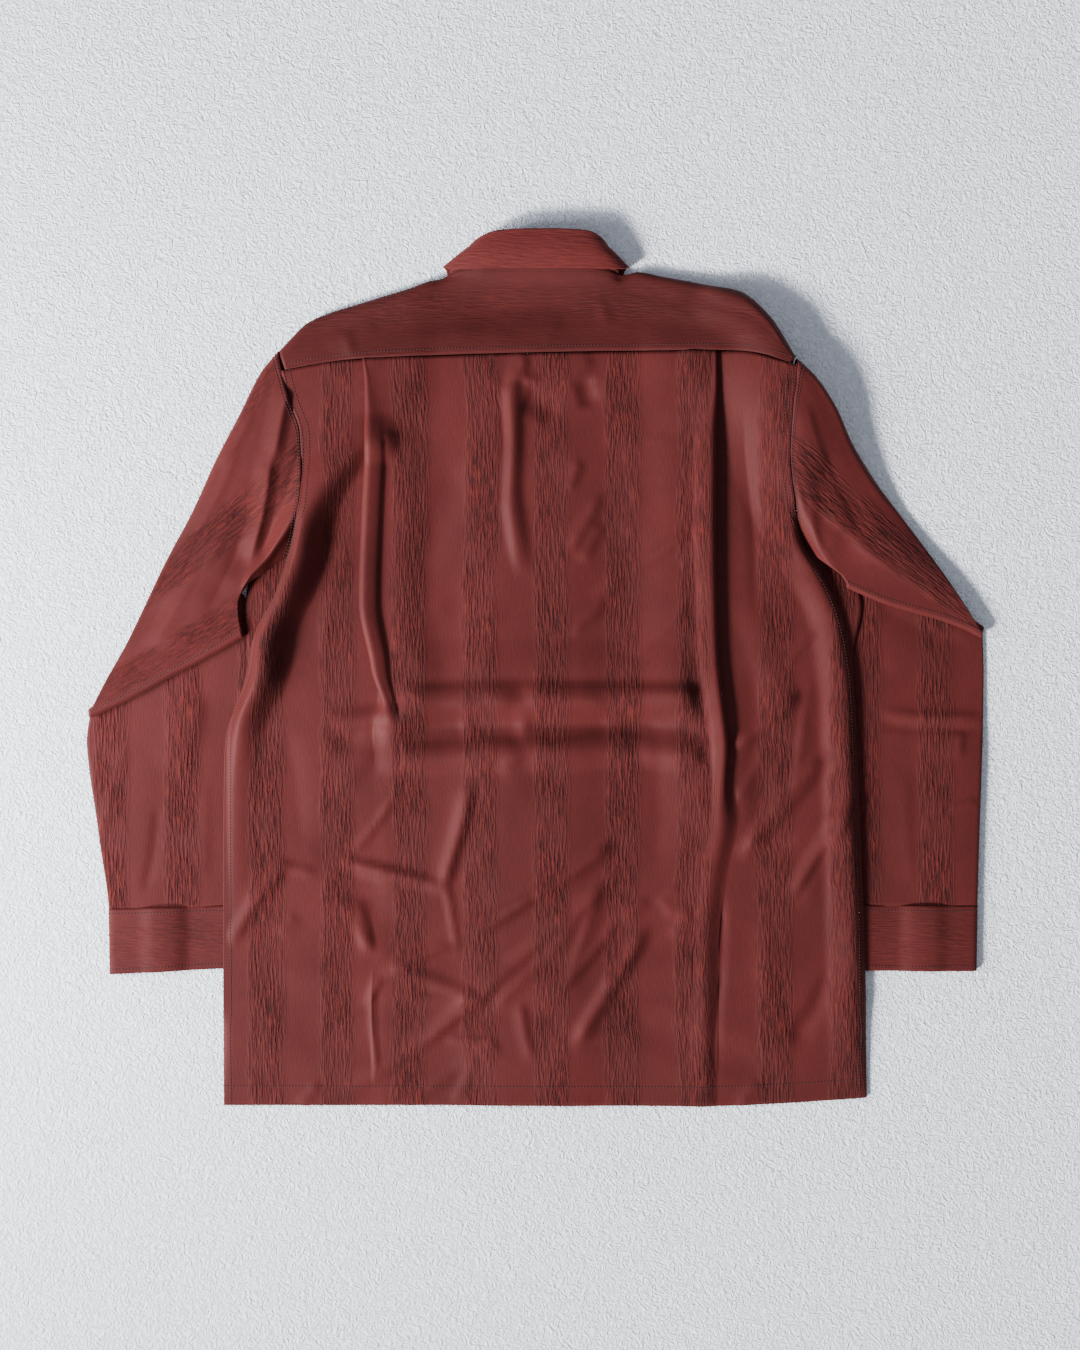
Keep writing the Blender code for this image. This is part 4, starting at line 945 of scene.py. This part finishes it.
yoke_points = finer_grid(yoke_strips())
yoke_top = np.clip((yoke_points[:, :, 2] - 6) / 5, 0, 1)
yoke_x, yoke_y = yoke_points[:, :, 0], yoke_points[:, :, 1]
yoke_shape = pressed(yoke_x, yoke_y, YOKE_CREASES) + rolled(yoke_x, yoke_y, YOKE_ROLLS)
yoke_points[:, :, 2] += yoke_shape * yoke_top
yoke_flat = np.stack([down_each(yoke_points) + 36, yoke_x], axis=2)
# The yoke's cloth is the back's viscose darkened by 0.82: painted shade.
level_cloth_painted_shade = crinkle_stripe("crinkle_stripe_viscose_cut_across_painted_shade", crinkled=0.4, plain=0.15, painted_light_tint=0.82)
yoke = shell("yoke_panel", yoke_points, yoke_flat, level_cloth_painted_shade)
finish_cloth(yoke, "yoke")
sew("yoke_stitches", [
    seam_line(yoke_points, "top", YOKE_STITCH_DEPTH, first=0.01, last=0.99),
    seam_line(yoke_points, "bottom", FRONT_STITCH_DEPTH, first=0.02, last=0.26),
    seam_line(yoke_points, "bottom", FRONT_STITCH_DEPTH, first=0.74, last=0.98),
])


# Fronts. Two panels under the back, each turned in twice down its centre edge to make
# the button stand; the left one lies outermost there, over the buttons of the other.
OVERLAP = 13.0
PLACKET_WIDE = 30.0
EDGE_STITCH_DEPTH = 2.0
UNDERARM_REACH = 30.0  # how far each front shows below the underarm
UNDERARM_Y = 77.0
FRONT_CREASES = table(Crease, [
    (-190, 200, -130, 60, 1.4, 16), (-80, 30, -150, -90, 1.2, 14),
    (-210, -60, -120, -160, 1.3, 14), (-60, -210, -160, -280, 1.2, 12),
    (60, 210, 130, 90, 1.4, 16), (90, 10, 190, -60, 1.2, 14), (200, -130, 110, -200, 1.3, 14),
    (70, -250, 180, -320, 1.2, 12), (-150, 260, -100, 180, 1.1, 12), (150, 250, 110, 150, 1.1, 12),
])
LOWER_FRONT_ROWS = [-407, -370, -334, -306, -250, -138, -44, 4, 60, 86]


def lapped(x):
    """Share of the step where one front or stand end lies on the other."""
    return smooth((45 - x) / 22)


def front_grid(side, lift):
    """One front, from the side seam to past the middle, and its place on flat cloth."""
    edge = LEFT_EDGE if side < 0 else RIGHT_EDGE
    top = [front_seam(outer, side) for outer in shoulder_columns(side)]
    top += [collar_point(at, "base") * [side, 1, 1] for at in NECK_STATIONS[-7:]]
    top.append(top[-1] + [-side * OVERLAP, 0, 0])
    top = np.array(top)[:, :2] - [side * SEAM, 2 * SEAM]
    edge_x, stop_x = top[0, 0], top[-1, 0]
    shares = (top[:, 0] - edge_x) / (stop_x - edge_x)
    rows = []
    for y_row in LOWER_FRONT_ROWS + ARMHOLE_ROWS[:2:-1]:
        x_edge = float(by_y(edge, "x", y_row))
        x_edge += side * UNDERARM_REACH * hump((y_row - UNDERARM_Y) / 50)
        x = x_edge + (stop_x - x_edge) * shares
        hem = (by_x(HEM, x) - HEM_Y) * near_hem(y_row)
        rows.append(np.column_stack([x, y_row + hem]))
    last = rows[-1]
    for y_row in [y for y in ARMHOLE_ROWS[2::-1] if y < top[0, 1] - 2] + [top[0, 1]]:
        t = (y_row - last[0, 1]) / (top[0, 1] - last[0, 1])
        x_edge = float(by_y(edge, "x", y_row))
        x = x_edge + (stop_x - x_edge) * shares
        x = x + (top[:, 0] - x) * t**2
        x[0] = x_edge if t < 1 else edge_x
        rows.append(np.column_stack([x, last[:, 1] + (top[:, 1] - last[:, 1]) * t]))
    plan = np.array(rows)
    plan = finer_grid(np.concatenate([plan, np.zeros((*plan.shape[:2], 1))], axis=2), step=6.0)
    x, y = plan[:, :, 0], plan[:, :, 1]
    z = front_height(x, y) + lift * lapped(side * x) + pressed(x, y, FRONT_CREASES)
    return np.stack([x, y, z], axis=2), np.stack([x, y], axis=2)


front_cloth = crinkle_stripe("crinkle_stripe_viscose_front")
for side, lift, node, cut, cut_area in (
    (-1, 0.0, "front_left", (304, 765), 0.203), (1, LAYER, "front_right", (324, 766), 0.218),
):
    points, flat = front_grid(side, lift)
    piece = shell(node + "_panel", points, flat, front_cloth)
    finish_cloth(piece, node)
    sew(node + "_stitches", [
        seam_line(points, "right", PLACKET_WIDE, side=-1, last=0.99),
        seam_line(points, "right", EDGE_STITCH_DEPTH, side=-1, last=0.99),
        seam_line(points, "top", HEM_DEPTH, side=-1),
    ])


# Sleeves. Each is one panel sewn to a tube, laid flat from the dropped shoulder out to
# the elbow, doubled back under itself there and hanging straight down to the cuff.
ELBOW_RADIUS = 2.1
SLEEVE_HALF = 1.05
SLEEVE_OUTER = {
    "left": table(Line, [
        (-239, 294), (-258, 270), (-267, 250), (-287, 213), (-305, 176), (-322, 139), (-343, 101),
        (-361, 64), (-378, 27), (-398, -10), (-415, -43),
    ]),
    "right": table(Line, [
        (244, 286), (262, 269), (275, 250), (293, 213), (316, 176), (344, 139), (372, 101),
        (397, 64), (411, 42), (417, 32),
    ]),
}
SLEEVE_INNER = {
    "left": table(Line, [(-233, 105), (-252, 91), (-270, 76), (-276, 58), (-272, 33)]),
    "right": table(Line, [(253, 114), (264, 104), (277, 94), (286, 87), (291, 79)]),
}
TOP_FOLD = {
    "left": table(Line, [(-415, -43), (-358, -15), (-334, -1), (-299, 17), (-272, 33)]),
    "right": table(Line, [(417, 32), (392, 44), (359, 54), (326, 64), (291, 79)]),
}
UNDER_FOLD = {
    "left": table(Line, [(-415, -41), (-345, 16), (-274, 72)]),
    "right": table(Line, [(418, 36), (350, 84), (290, 118)]),
}
FOREARM_OUTER = {
    "left": table(Line, [
        (-415, -41), (-418, -62), (-416, -90), (-411, -122), (-406, -159), (-400, -196),
        (-397, -222),
    ]),
    "right": table(Line, [(418, 36), (419, 4), (418, -66), (416, -120), (413, -219)]),
}
FOREARM_INNER = {
    "left": table(Line, [(-274, 72), (-263, 28), (-263, -60), (-273, -219)]),
    "right": table(Line, [(290, 118), (289, 40), (289, -60), (293, -219)]),
}
ARMHOLE_END = {"left": 105.0, "right": 114.0}
SLEEVE_CREASES = {
    "left": table(Crease, [
        (-226, 262, -243, 195, 4.4, 9), (-243, 195, -262, 105, 5.0, 10),
        (-262, 150, -300, 60, -1.4, 14), (-290, 120, -350, 30, 1.2, 14),
        (-320, 100, -372, 20, -1.2, 12), (-262, 235, -290, 190, 1.2, 8),
        (-311, -29, -330, -95, 2.2, 15), (-385, -75, -402, -150, 1.4, 12),
        (-350, -130, -362, -205, -1.2, 12), (-300, -110, -305, -190, 1.4, 10),
        (-300, 45, -345, 20, 1.2, 7), (-275, 200, -312, 130, 1.0, 9),
    ]),
    "right": table(Crease, [
        (262, 150, 330, 95, 1.4, 12), (270, 200, 300, 130, -1.2, 14), (300, 110, 385, 66, 1.2, 10),
        (326, -42, 412, -46, 2.8, 9), (326, -54, 412, -58, -1.6, 9),
        (386, -131, 412, -124, 1.6, 7), (398, -60, 395, -82, 1.5, 6),
        (345, -100, 352, -200, 1.2, 12), (372, 20, 330, 0, 1.2, 12), (320, 60, 400, 20, -1.2, 12),
        (250, 240, 268, 190, 1.2, 8),
    ]),
}
UPPER_RINGS = 12
ELBOW_RINGS = 8
SLEEVE_STEP = 4.5
SLEEVE_STITCH_DEPTHS = (4.0, 8.0)
GRAIN_CENTRE = {"left": (-652, -162), "right": (700, -180)}
GRAIN_REACH = 420
ARMHOLE_TUCK = 3.0
CUFF_TUCK = 2.5
FOREARM_STRIPE = {"left": -395.0, "right": 374.0}
ACROSS = np.array([0, 0.006, 0.018, 0.05, 0.14, 0.32, 0.52, 0.72, 0.87, 0.94, 0.974, 0.99, 1])


def line_at(rows, share):
    """Points at shares of the way along a smooth line."""
    x, y = column(rows, "x"), column(rows, "y")
    run = running(np.hypot(np.diff(x), np.diff(y)))
    at = np.asarray(share) * run[-1]
    return np.column_stack([through(at, run, x), through(at, run, y)])


def patch(start, stop, outer, inner, t):
    """A line across a four-sided patch, at share t from start to stop."""
    bends = []
    for side in (outer, inner):
        first, at, last = line_at(side, [0, t, 1])
        bends.append(at - (first * (1 - t) + last * t))
    w = ACROSS[:, None]
    plain = start * (1 - t) + stop * t
    return plain + (1 - w) * bends[0] + w * bends[1]


def tube_ring(plan, low, high, round_out, round_in):
    """Half the height of a flat tube at each point of its section.

    low and high are the heights of the lower and upper wall away from the edges, and
    the tube is rounded off by its radii at the outer and inner edge.
    """
    run = running(np.hypot(*np.diff(plan, axis=0).T))
    grow = np.ones(len(run))
    tall = np.broadcast_to((high - low) / 2, run.shape)
    for distance, radius, near in ((run, round_out, tall[3]), (run[-1] - run, round_in, tall[-4])):
        t = np.clip(distance / max(min(radius, near), SLEEVE_HALF), 0, 1)
        grow = np.minimum(grow, np.sqrt(np.clip(1 - (1 - t) ** 2, 0, 1)))
    return tall * grow


def ring_points(centre, normal, half):
    """A closed ring: its upper wall, then its lower wall on the way back."""
    out = normal * half[:, None]
    return np.vstack([centre + out, (centre - out)[-2:0:-1]])


def forearm_swell():
    """How much further apart the walls of a forearm lie across its width."""
    return 3.6 * hump((ACROSS - 0.12) / 0.45) + 1.6 * hump((ACROSS - 0.5) / 0.42)


def outside(points, corners):
    """Distance from each point to a convex four-sided area, 0 inside it."""
    far = np.full(len(points), np.inf)
    inside = np.ones(len(points), bool)
    middle = corners.mean(axis=0)
    for a, b in zip(corners, np.roll(corners, -1, axis=0)):
        run = b - a
        length = max(float(run @ run), 1e-9)
        t = np.clip((points - a) @ run / length, 0, 1)
        far = np.minimum(far, np.hypot(*(points - a - t[:, None] * run).T))
        turn = run[0] * (points[:, 1] - a[1]) - run[1] * (points[:, 0] - a[0])
        own = run[0] * (middle[1] - a[1]) - run[1] * (middle[0] - a[0])
        inside &= turn * own >= 0
    return np.where(inside, 0, far)


def across(points, way):
    """Unit vector across a fold line, up the shirt (1) or down it (-1)."""
    run = points[-1] - points[0]
    across_it = np.array([-run[1], run[0]]) / np.linalg.norm(run)
    return across_it * (way if across_it[1] > 0 else -way)


def turned_ring(line, way, axis_z, angle, half, side):
    """Ring of the flat sleeve part of the way round an elbow fold."""
    turn = ELBOW_RADIUS * math.sin(angle)
    centre = np.column_stack([line + way * turn, np.full(len(line), axis_z)])
    centre[:, 2] += ELBOW_RADIUS * math.cos(angle)
    normal = side * np.append(way * math.sin(angle), math.cos(angle))
    return ring_points(centre, normal[None, :], half)


def sleeve_rings(side):
    """Sections of a sleeve from the armhole, round the elbow's folds, to the cuff."""
    sign = -1 if side == "left" else 1
    edge = LEFT_EDGE if side == "left" else RIGHT_EDGE
    top_y, end_y = SLEEVE_OUTER[side][0].y, ARMHOLE_END[side]
    arm_y = np.array([top_y, top_y - 0.8, top_y - 2.6, top_y - 5, 279] + ARMHOLE_ROWS[:-1] + [end_y])
    arm_x = by_y(edge, "x", arm_y)
    arm = np.column_stack([arm_x + sign * 1.3, arm_y])
    even = line_at([Line(*point) for point in arm], ACROSS)
    arm_low = front_height(arm_x, np.minimum(arm_y, top_y - 21))
    arm_high = back_height(arm_x, np.minimum(arm_y, 279))
    over, under = line_at(TOP_FOLD[side], ACROSS), line_at(UNDER_FOLD[side], ACROSS)
    tuck = np.array([over[0], over[-1], under[-1], under[0]])
    levels = [FLOOR + SLEEVE_HALF + 2 * ELBOW_RADIUS * k for k in range(3)]
    up = np.array([0, 0, 1.0])
    rings = []
    for t in (0, 0.05, 0.17, 0.3, 0.44, 0.58, 0.7, 0.81, 0.9, 0.955, 0.98, 1):
        plan = patch(even + (arm - even) * (1 - t) ** 3, over, SLEEVE_OUTER[side], SLEEVE_INNER[side], t)
        near = float(smooth(1 - t / 0.62))
        lift = smooth((46 - outside(plan, tuck)) / 36) * float(smooth(t / 0.3))
        low = FLOOR + (arm_low - FLOOR) * near + (levels[2] - SLEEVE_HALF - FLOOR) * lift
        swell = 2 * SLEEVE_HALF + 5.0 * hump((ACROSS - 0.2) / 0.6) * float(hump((t - 0.42) / 0.5))
        high = low + swell + (arm_high - arm_low - swell) * near
        round_by = SLEEVE_HALF + 6.0 * max(near, float(hump((t - 0.42) / 0.5)))
        half = tube_ring(plan, low, high, round_by, round_by)
        tall = (high - low) / 2
        mid = low + half + (tall - half) * 0.5
        centre = np.column_stack([plan, mid])
        rings.append(ring_points(centre, up[None, :], half))
    flat = tube_ring(over, np.zeros(len(ACROSS)), np.full(len(ACROSS), 2 * SLEEVE_HALF), 0.9, 0.9)
    over_way, under_way = across(over, -1), across(under, 1)
    for k in (1, 2, 3):
        rings.append(turned_ring(over, over_way, levels[1] + ELBOW_RADIUS, math.pi * k / 4, flat, 1))
    for t in (0.04, 0.96):
        plan = over + (under - over) * t
        centre = np.column_stack([plan, np.full(len(plan), levels[1])])
        rings.append(ring_points(centre, -up[None, :], flat))
    for k in (1, 2, 3):
        rings.append(turned_ring(under, under_way, levels[0] + ELBOW_RADIUS, math.pi * k / 4, flat, -1))
    wrist = line_at([FOREARM_OUTER[side][-1], FOREARM_INNER[side][-1]], ACROSS)
    for t in (0, 0.14, 0.3, 0.5, 0.72, 0.9, 1):
        plan = patch(under, wrist, FOREARM_OUTER[side], FOREARM_INNER[side], t)
        grow = float(smooth((t - 0.22) / 0.3))
        high = 2 * SLEEVE_HALF + forearm_swell() * grow
        half = tube_ring(plan, 0, high, SLEEVE_HALF + 2.2 * grow, SLEEVE_HALF)
        centre = np.column_stack([plan, FLOOR + high / 2])
        rings.append(ring_points(centre, up[None, :], half))
    return np.array(rings)


for side in ("left", "right"):
    rings = sleeve_rings(side)
    half_round = rings.shape[1] // 2
    into_body, into_cuff = rings[0] - rings[1], rings[-1] - rings[-2]
    for ring, way, tuck in ((0, into_body, ARMHOLE_TUCK), (-1, into_cuff, CUFF_TUCK)):
        reach = np.linalg.norm(way, axis=1, keepdims=True)
        rings[ring] += way / np.maximum(reach, 0.5) * tuck
    points = finer_grid(rings, step=SLEEVE_STEP, closed=True)
    loops = np.concatenate([rings, rings[:, :1]], axis=1)
    across_parts = cuts(loops, SLEEVE_STEP)
    upper_stop = int(across_parts[:half_round].sum())
    fine_loops = np.array([finer(row, across_parts) for row in loops])
    along_parts = cuts(fine_loops.transpose(1, 0, 2), SLEEVE_STEP)
    elbow = int(along_parts[:UPPER_RINGS - 1].sum())
    forearm = int(along_parts[:UPPER_RINGS + ELBOW_RINGS - 1].sum())
    x, y = points[:, :, 0].copy(), points[:, :, 1].copy()
    shape = np.zeros(x.shape)
    rise = np.sin(np.pi * np.arange(upper_stop + 1) / upper_stop)
    shape[:, :upper_stop + 1] = np.clip(rise * 5, 0, 1)[None, :]
    rows = np.arange(len(points))
    shown = np.where(rows <= elbow, smooth((elbow - rows) / 5), smooth((rows - forearm) / 5))
    under_body = smooth((np.abs(x) - 300) / 12) if side == "left" else smooth((x - 318) / 12)
    under_body = np.where(rows[:, None] <= elbow, 1, under_body)
    points[:, :, 2] += pressed(x, y, SLEEVE_CREASES[side]) * shape * shown[:, None] * under_body
    points[:, :, 2] = np.maximum(points[:, :, 2], FLOOR)
    cx, cy = GRAIN_CENTRE[side]
    turn = np.arctan2(y - cy, np.abs(x - cx))
    upper_u, upper_v = turn * GRAIN_REACH, np.hypot(x - cx, y - cy)
    lower_u = x - FOREARM_STRIPE[side] + STRIPE_AT
    is_upper = (rows <= (elbow + forearm) // 2)[:, None]
    flat = np.stack([np.where(is_upper, upper_u, lower_u), np.where(is_upper, upper_v, y)], axis=2)
    piece = shell(f"sleeve_{side}_panel", points, flat, striped_cloth, closed=True)
    finish_cloth(piece, f"sleeve_{side}")
    upper = points[:, :upper_stop + 1]
    lines = [seam_line(upper, "top", depth, first=0.03, last=0.97) for depth in SLEEVE_STITCH_DEPTHS]
    lines.append(seam_line(upper[:elbow + 1], "bottom", SLEEVE_STITCH_DEPTHS[0], first=0.03, last=0.97))
    sew(f"sleeve_{side}_stitches", lines)


# Cuffs. Double, stiffened bands closed by a button on the side that lies hidden, with
# the forearm's cloth caught between their layers and topstitched all round.
CUFF_LIFT = 2.5
CUFF_WALL = 1.1
CUFF_STITCH_DEPTH = 4.5
CUFF_OUTER = {
    "left": table(Line, [(-397, -223), (-396, -284)]),
    "right": table(Line, [(413, -220), (412, -281)]),
}
CUFF_INNER = {
    "left": table(Line, [(-273, -220), (-274, -278)]),
    "right": table(Line, [(293, -220), (293, -281)]),
}
CUFF_STEP = 2.5
CUFF_BUTTON_SHARE = 0.42  # where the button lies across the cuff


def cuff_rings(side):
    """Stiff band at the wrist, lying flat with its button on the hidden side."""
    outer = [Line(p.x, p.y - SEAM) for p in CUFF_OUTER[side]]
    inner = [Line(p.x, p.y - SEAM) for p in CUFF_INNER[side]]
    shares = np.array([0, 0.005, 0.02, 0.1, 0.22, 0.34, 0.5, 0.62, 0.8, 0.98, 0.995, 1])
    rings = []
    for t in (0, 0.12, 0.35, 0.65, 0.88, 1):
        out, inn = line_at(outer, [t])[0], line_at(inner, [t])[0]
        plan = out + (inn - out) * shares[:, None]
        high = 2 * SLEEVE_HALF + 3.4 * hump((shares - 0.18) / 0.5) + 0.5
        half = tube_ring(plan, 0, high, 2.6, 1.1)
        low = FLOOR + CUFF_LIFT * smooth((0.2 - np.abs(shares - CUFF_BUTTON_SHARE)) / 0.1)
        centre = np.column_stack([plan, np.maximum(low + half, FLOOR + high / 2 + 0.15)])
        rings.append(ring_points(centre, np.array([[0, 0, 1.0]]), np.minimum(half, centre[:, 2] - low)))
    return np.array(rings)


cuff_cloth = crinkle_stripe("crinkle_stripe_viscose_cuff", crinkled=0.45, plain=0.25)
for side in ("left", "right"):
    rings = cuff_rings(side)
    half_round = rings.shape[1] // 2
    loops = np.concatenate([rings, rings[:, :1]], axis=1)
    upper_stop = int(cuts(loops, CUFF_STEP)[:half_round].sum())
    points = finer_grid(rings, step=CUFF_STEP, closed=True)
    flat = np.stack([points[:, :, 1], points[:, :, 0]], axis=2)
    piece = shell(f"cuff_{side}_band", points, flat, cuff_cloth, closed=True, wall=CUFF_WALL)
    finish_cloth(piece, f"cuff_{side}")
    upper = points[:, :upper_stop + 1]
    sew(f"cuff_{side}_stitches", [
        seam_line(upper, edge, CUFF_STITCH_DEPTH, first=0.03, last=0.97, wall=CUFF_WALL)
        for edge in ("top", "bottom")
    ])


# Collar. A stand sewn round the neck carries a leaf that turns over it at the back and
# runs round to two points under the fronts; both are double and stiffened.
COLLAR_LEAN = {"base": 0.0, "roll": 9.0, "edge": 4.0}  # how far the collar leans over
LEAF_END = 0.955
COLLAR_WALL = 1.1
LEAF_STITCH_DEPTH = 5.0
COLLAR_STEP = 3.0


def collar_at(side, at, part):
    """A point of the collar on either half; the roll line leans to the right."""
    point = collar_point(at, part) * [side, 1, 1]
    point[0] += COLLAR_LEAN[part] * float(1 - smooth(at / 0.85))
    return point


def stand_points():
    """The stand, from one lapped end round the back of the neck to the other."""
    halves = []
    for side, lift in ((-1, 0.0), (1, LAYER)):
        strip = []
        for at in NECK_STATIONS:
            pair = np.array([collar_at(side, at, "base"), collar_at(side, at, "roll")])
            pair[:, 2] += lift * lapped(side * pair[:, 0]) * float(at > 0.6)
            strip.append(pair)
        strip.append(strip[-1] + [-side * (OVERLAP - 1), 0, 0])
        halves.append(strip)
    order = halves[0][::-1] + halves[1][1:]
    grid = [[base + (roll - base) * t for t in (0, 0.35, 0.7, 1)] for base, roll in order]
    return np.array(grid).transpose(1, 0, 2)


def leaf_points():
    """The leaf, over its roll on the stand and out to its edge."""
    stations = [at for at in NECK_STATIONS if at < LEAF_END] + [LEAF_END]
    halves = []
    for side in (-1, 1):
        strips = []
        for at in stations:
            base, roll, edge = (collar_at(side, at, part) for part in ("base", "roll", "edge"))
            up = (roll - base) / np.linalg.norm(roll - base)
            run = collar_at(side, min(at + 0.01, 1), "roll") - collar_at(side, max(at - 0.01, 0), "roll")
            out = np.cross(run, up) * side
            size = np.linalg.norm(out)
            out /= size
            up /= max(size / np.linalg.norm(run), 0.4)
            turn = ((1.0, -0.3), (1.7, 0.5), (1.3, 1.6))
            strip = [roll + up * high + out * wide for high, wide in turn]
            start = roll + out * 2.0 - up * 0.6
            for t in (0, 0.2, 0.45, 0.72, 1):
                bow = 2.2 * math.sin(math.pi * t) * float(smooth((0.6 - at) / 0.3))
                strip.append(start + (edge - start) * t + out * bow)
            strips.append(np.array(strip))
        halves.append(strips)
    return np.array(halves[0][::-1] + halves[1][1:]).transpose(1, 0, 2)


# The collar's cloth is the back's viscose lightened by 1.35: painted light.
collar_cloth_painted_light = crinkle_stripe("crinkle_stripe_viscose_collar_painted_light", crinkled=0.5, plain=0.38, painted_light_tint=1.35)
stand = finer_grid(stand_points(), step=COLLAR_STEP)
leaf = finer_grid(leaf_points(), step=COLLAR_STEP)
for name, node, points, flat_size in (
    ("collar_stand_band", "collar_stand", stand, (380, 27)),
    ("collar_leaf", "collar", leaf, (380, 46)),
):
    run = down_each(points)
    around = running(np.linalg.norm(np.diff(points, axis=1), axis=2).mean(axis=0))
    flat = np.stack([run + 12, np.broadcast_to(around, run.shape)], axis=2)
    piece = shell(name, points, flat, collar_cloth_painted_light, wall=COLLAR_WALL)
    finish_cloth(piece, node)
sew("collar_stitches", [
    seam_line(leaf, "bottom", LEAF_STITCH_DEPTH, first=0.02, last=0.98, wall=COLLAR_WALL),
])


# Buttons. Turned from polyester in a dark red, with a rolled rim, a dished face and
# four holes crossed by thread; they close the fronts, the collar and the cuffs.
BUTTON_RADIUS = 5.2
CUFF_BUTTON_RADIUS = 4.8
BUTTON_THICK = 2.1
BUTTON_PITCH = 88.0
BUTTON_TOP = 268.0
BUTTON_COUNT = 7
HOLE_RADIUS = 0.75
HOLE_OFFSET = 1.25
HOLE_SIDES = 12
DISC_STEPS = 40


def button_material():
    """Cast polyester resin, tumbled to a soft polish, with faint cloudy streaks."""
    made, tree, shader = new_material("cast_polyester_button")
    place = add(tree, "ShaderNodeTexCoord").outputs["Object"]
    streak = add(tree, "ShaderNodeTexNoise", {
        "Vector": place, "Scale": 260.0, "Detail": 3.0, "Distortion": 1.2,
    })
    colour = mixed(tree, streak.outputs["Fac"], paint("#331010"), paint("#5A1F1D"))
    tree.links.new(colour, shader.inputs["Base Color"])
    shader.inputs["Roughness"].default_value = 0.28
    shader.inputs["IOR"].default_value = 1.54
    return made


resin = button_material()


def button_mesh(radius):
    """A button about its own middle, with its face down and its holes cut through."""
    profile = [(0, 0.75), (0.45, 0.7), (0.62, 0.5), (0.72, 0.12), (0.8, 0.0), (0.9, 0.06), (0.98, 0.4)]
    profile += [(1.0, 0.9), (0.96, 1.5), (0.85, 1.9), (0.6, 2.1), (0, 2.1)]
    mesh = bpy.data.meshes.new("button_profile")
    corners = [(r * radius * MM, 0, h * MM) for r, h in profile]
    mesh.from_pydata(corners, [(i, i + 1) for i in range(len(corners) - 1)], [])
    disc = placed("button_blank", mesh)
    turn = disc.modifiers.new("turn", "SCREW")
    turn.steps = turn.render_steps = DISC_STEPS
    turn.use_merge_vertices = True
    turn.merge_threshold = 0.00001
    turn.use_normal_calculate = True
    drills = []
    for k in range(4):
        angle = math.radians(45 + 90 * k)
        x, y = HOLE_OFFSET * math.cos(angle), HOLE_OFFSET * math.sin(angle)
        turns = [math.tau * i / HOLE_SIDES for i in range(HOLE_SIDES)]
        ring = [(x + HOLE_RADIUS * math.cos(t), y + HOLE_RADIUS * math.sin(t)) for t in turns]
        drill_mesh = bpy.data.meshes.new("drill")
        ends = [(px * MM, py * MM, z * MM) for z in (-1, 4) for px, py in ring]
        after = [(i + 1) % HOLE_SIDES for i in range(HOLE_SIDES)]
        sides = [(i, n, HOLE_SIDES + n, HOLE_SIDES + i) for i, n in enumerate(after)]
        caps = [tuple(reversed(range(HOLE_SIDES))), tuple(range(HOLE_SIDES, 2 * HOLE_SIDES))]
        drill_mesh.from_pydata(ends, [], sides + caps)
        drill = placed("drill", drill_mesh)
        cut = disc.modifiers.new("hole", "BOOLEAN")
        cut.object = drill
        cut.solver = "EXACT"
        drills.append(drill)
    whole = bpy.data.meshes.new_from_object(disc.evaluated_get(bpy.context.evaluated_depsgraph_get()))
    for used in [disc] + drills:
        bpy.data.objects.remove(used, do_unlink=True)
    return whole


def button_at(node, x, y, top, radius):
    """A button with its top face at a height, and the crossed thread in its holes."""
    mesh = discs[radius].copy()
    mesh.transform(place_matrix(x, y, top - BUTTON_THICK))
    mesh.materials.clear()
    mesh.materials.append(resin)
    mesh.shade_smooth()
    piece = placed(node + "_disc", mesh)
    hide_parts(node)
    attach(piece, "root")
    reach = HOLE_OFFSET * 0.72
    cross = [[(x - a, y - b, top - BUTTON_THICK + 0.35), (x + a, y + b, top - BUTTON_THICK + 0.35)]
             for a, b in ((reach, reach), (reach, -reach))]
    sew(node + "_thread", cross, pitch=reach * 1.3)


def place_matrix(x, y, z):
    """Moves a mesh from the origin to its place."""
    from_origin = np.eye(4)
    from_origin[:3, 3] = (x * MM, y * MM, z * MM)
    return Matrix(from_origin.tolist())


discs = {radius: button_mesh(radius) for radius in (BUTTON_RADIUS, CUFF_BUTTON_RADIUS)}
for k in range(BUTTON_COUNT):
    y = BUTTON_TOP - BUTTON_PITCH * k
    button_at(f"button_{k + 1}", 0, y, float(front_height(0, y)) - CLOTH / 2 - 0.35, BUTTON_RADIUS)
neck_y = (collar_point(1, "base")[1] + collar_point(1, "roll")[1]) / 2
button_at("button_collar", 0, neck_y, collar_point(1, "base")[2] - CLOTH / 2 - 0.15, BUTTON_RADIUS)
for side in ("left", "right"):
    out, inn = CUFF_OUTER[side], CUFF_INNER[side]
    x = out[0].x + (inn[0].x - out[0].x) * CUFF_BUTTON_SHARE
    y = (out[0].y + out[1].y) / 2
    button_at(f"button_cuff_{side}", x, y, BUTTON_THICK, CUFF_BUTTON_RADIUS)
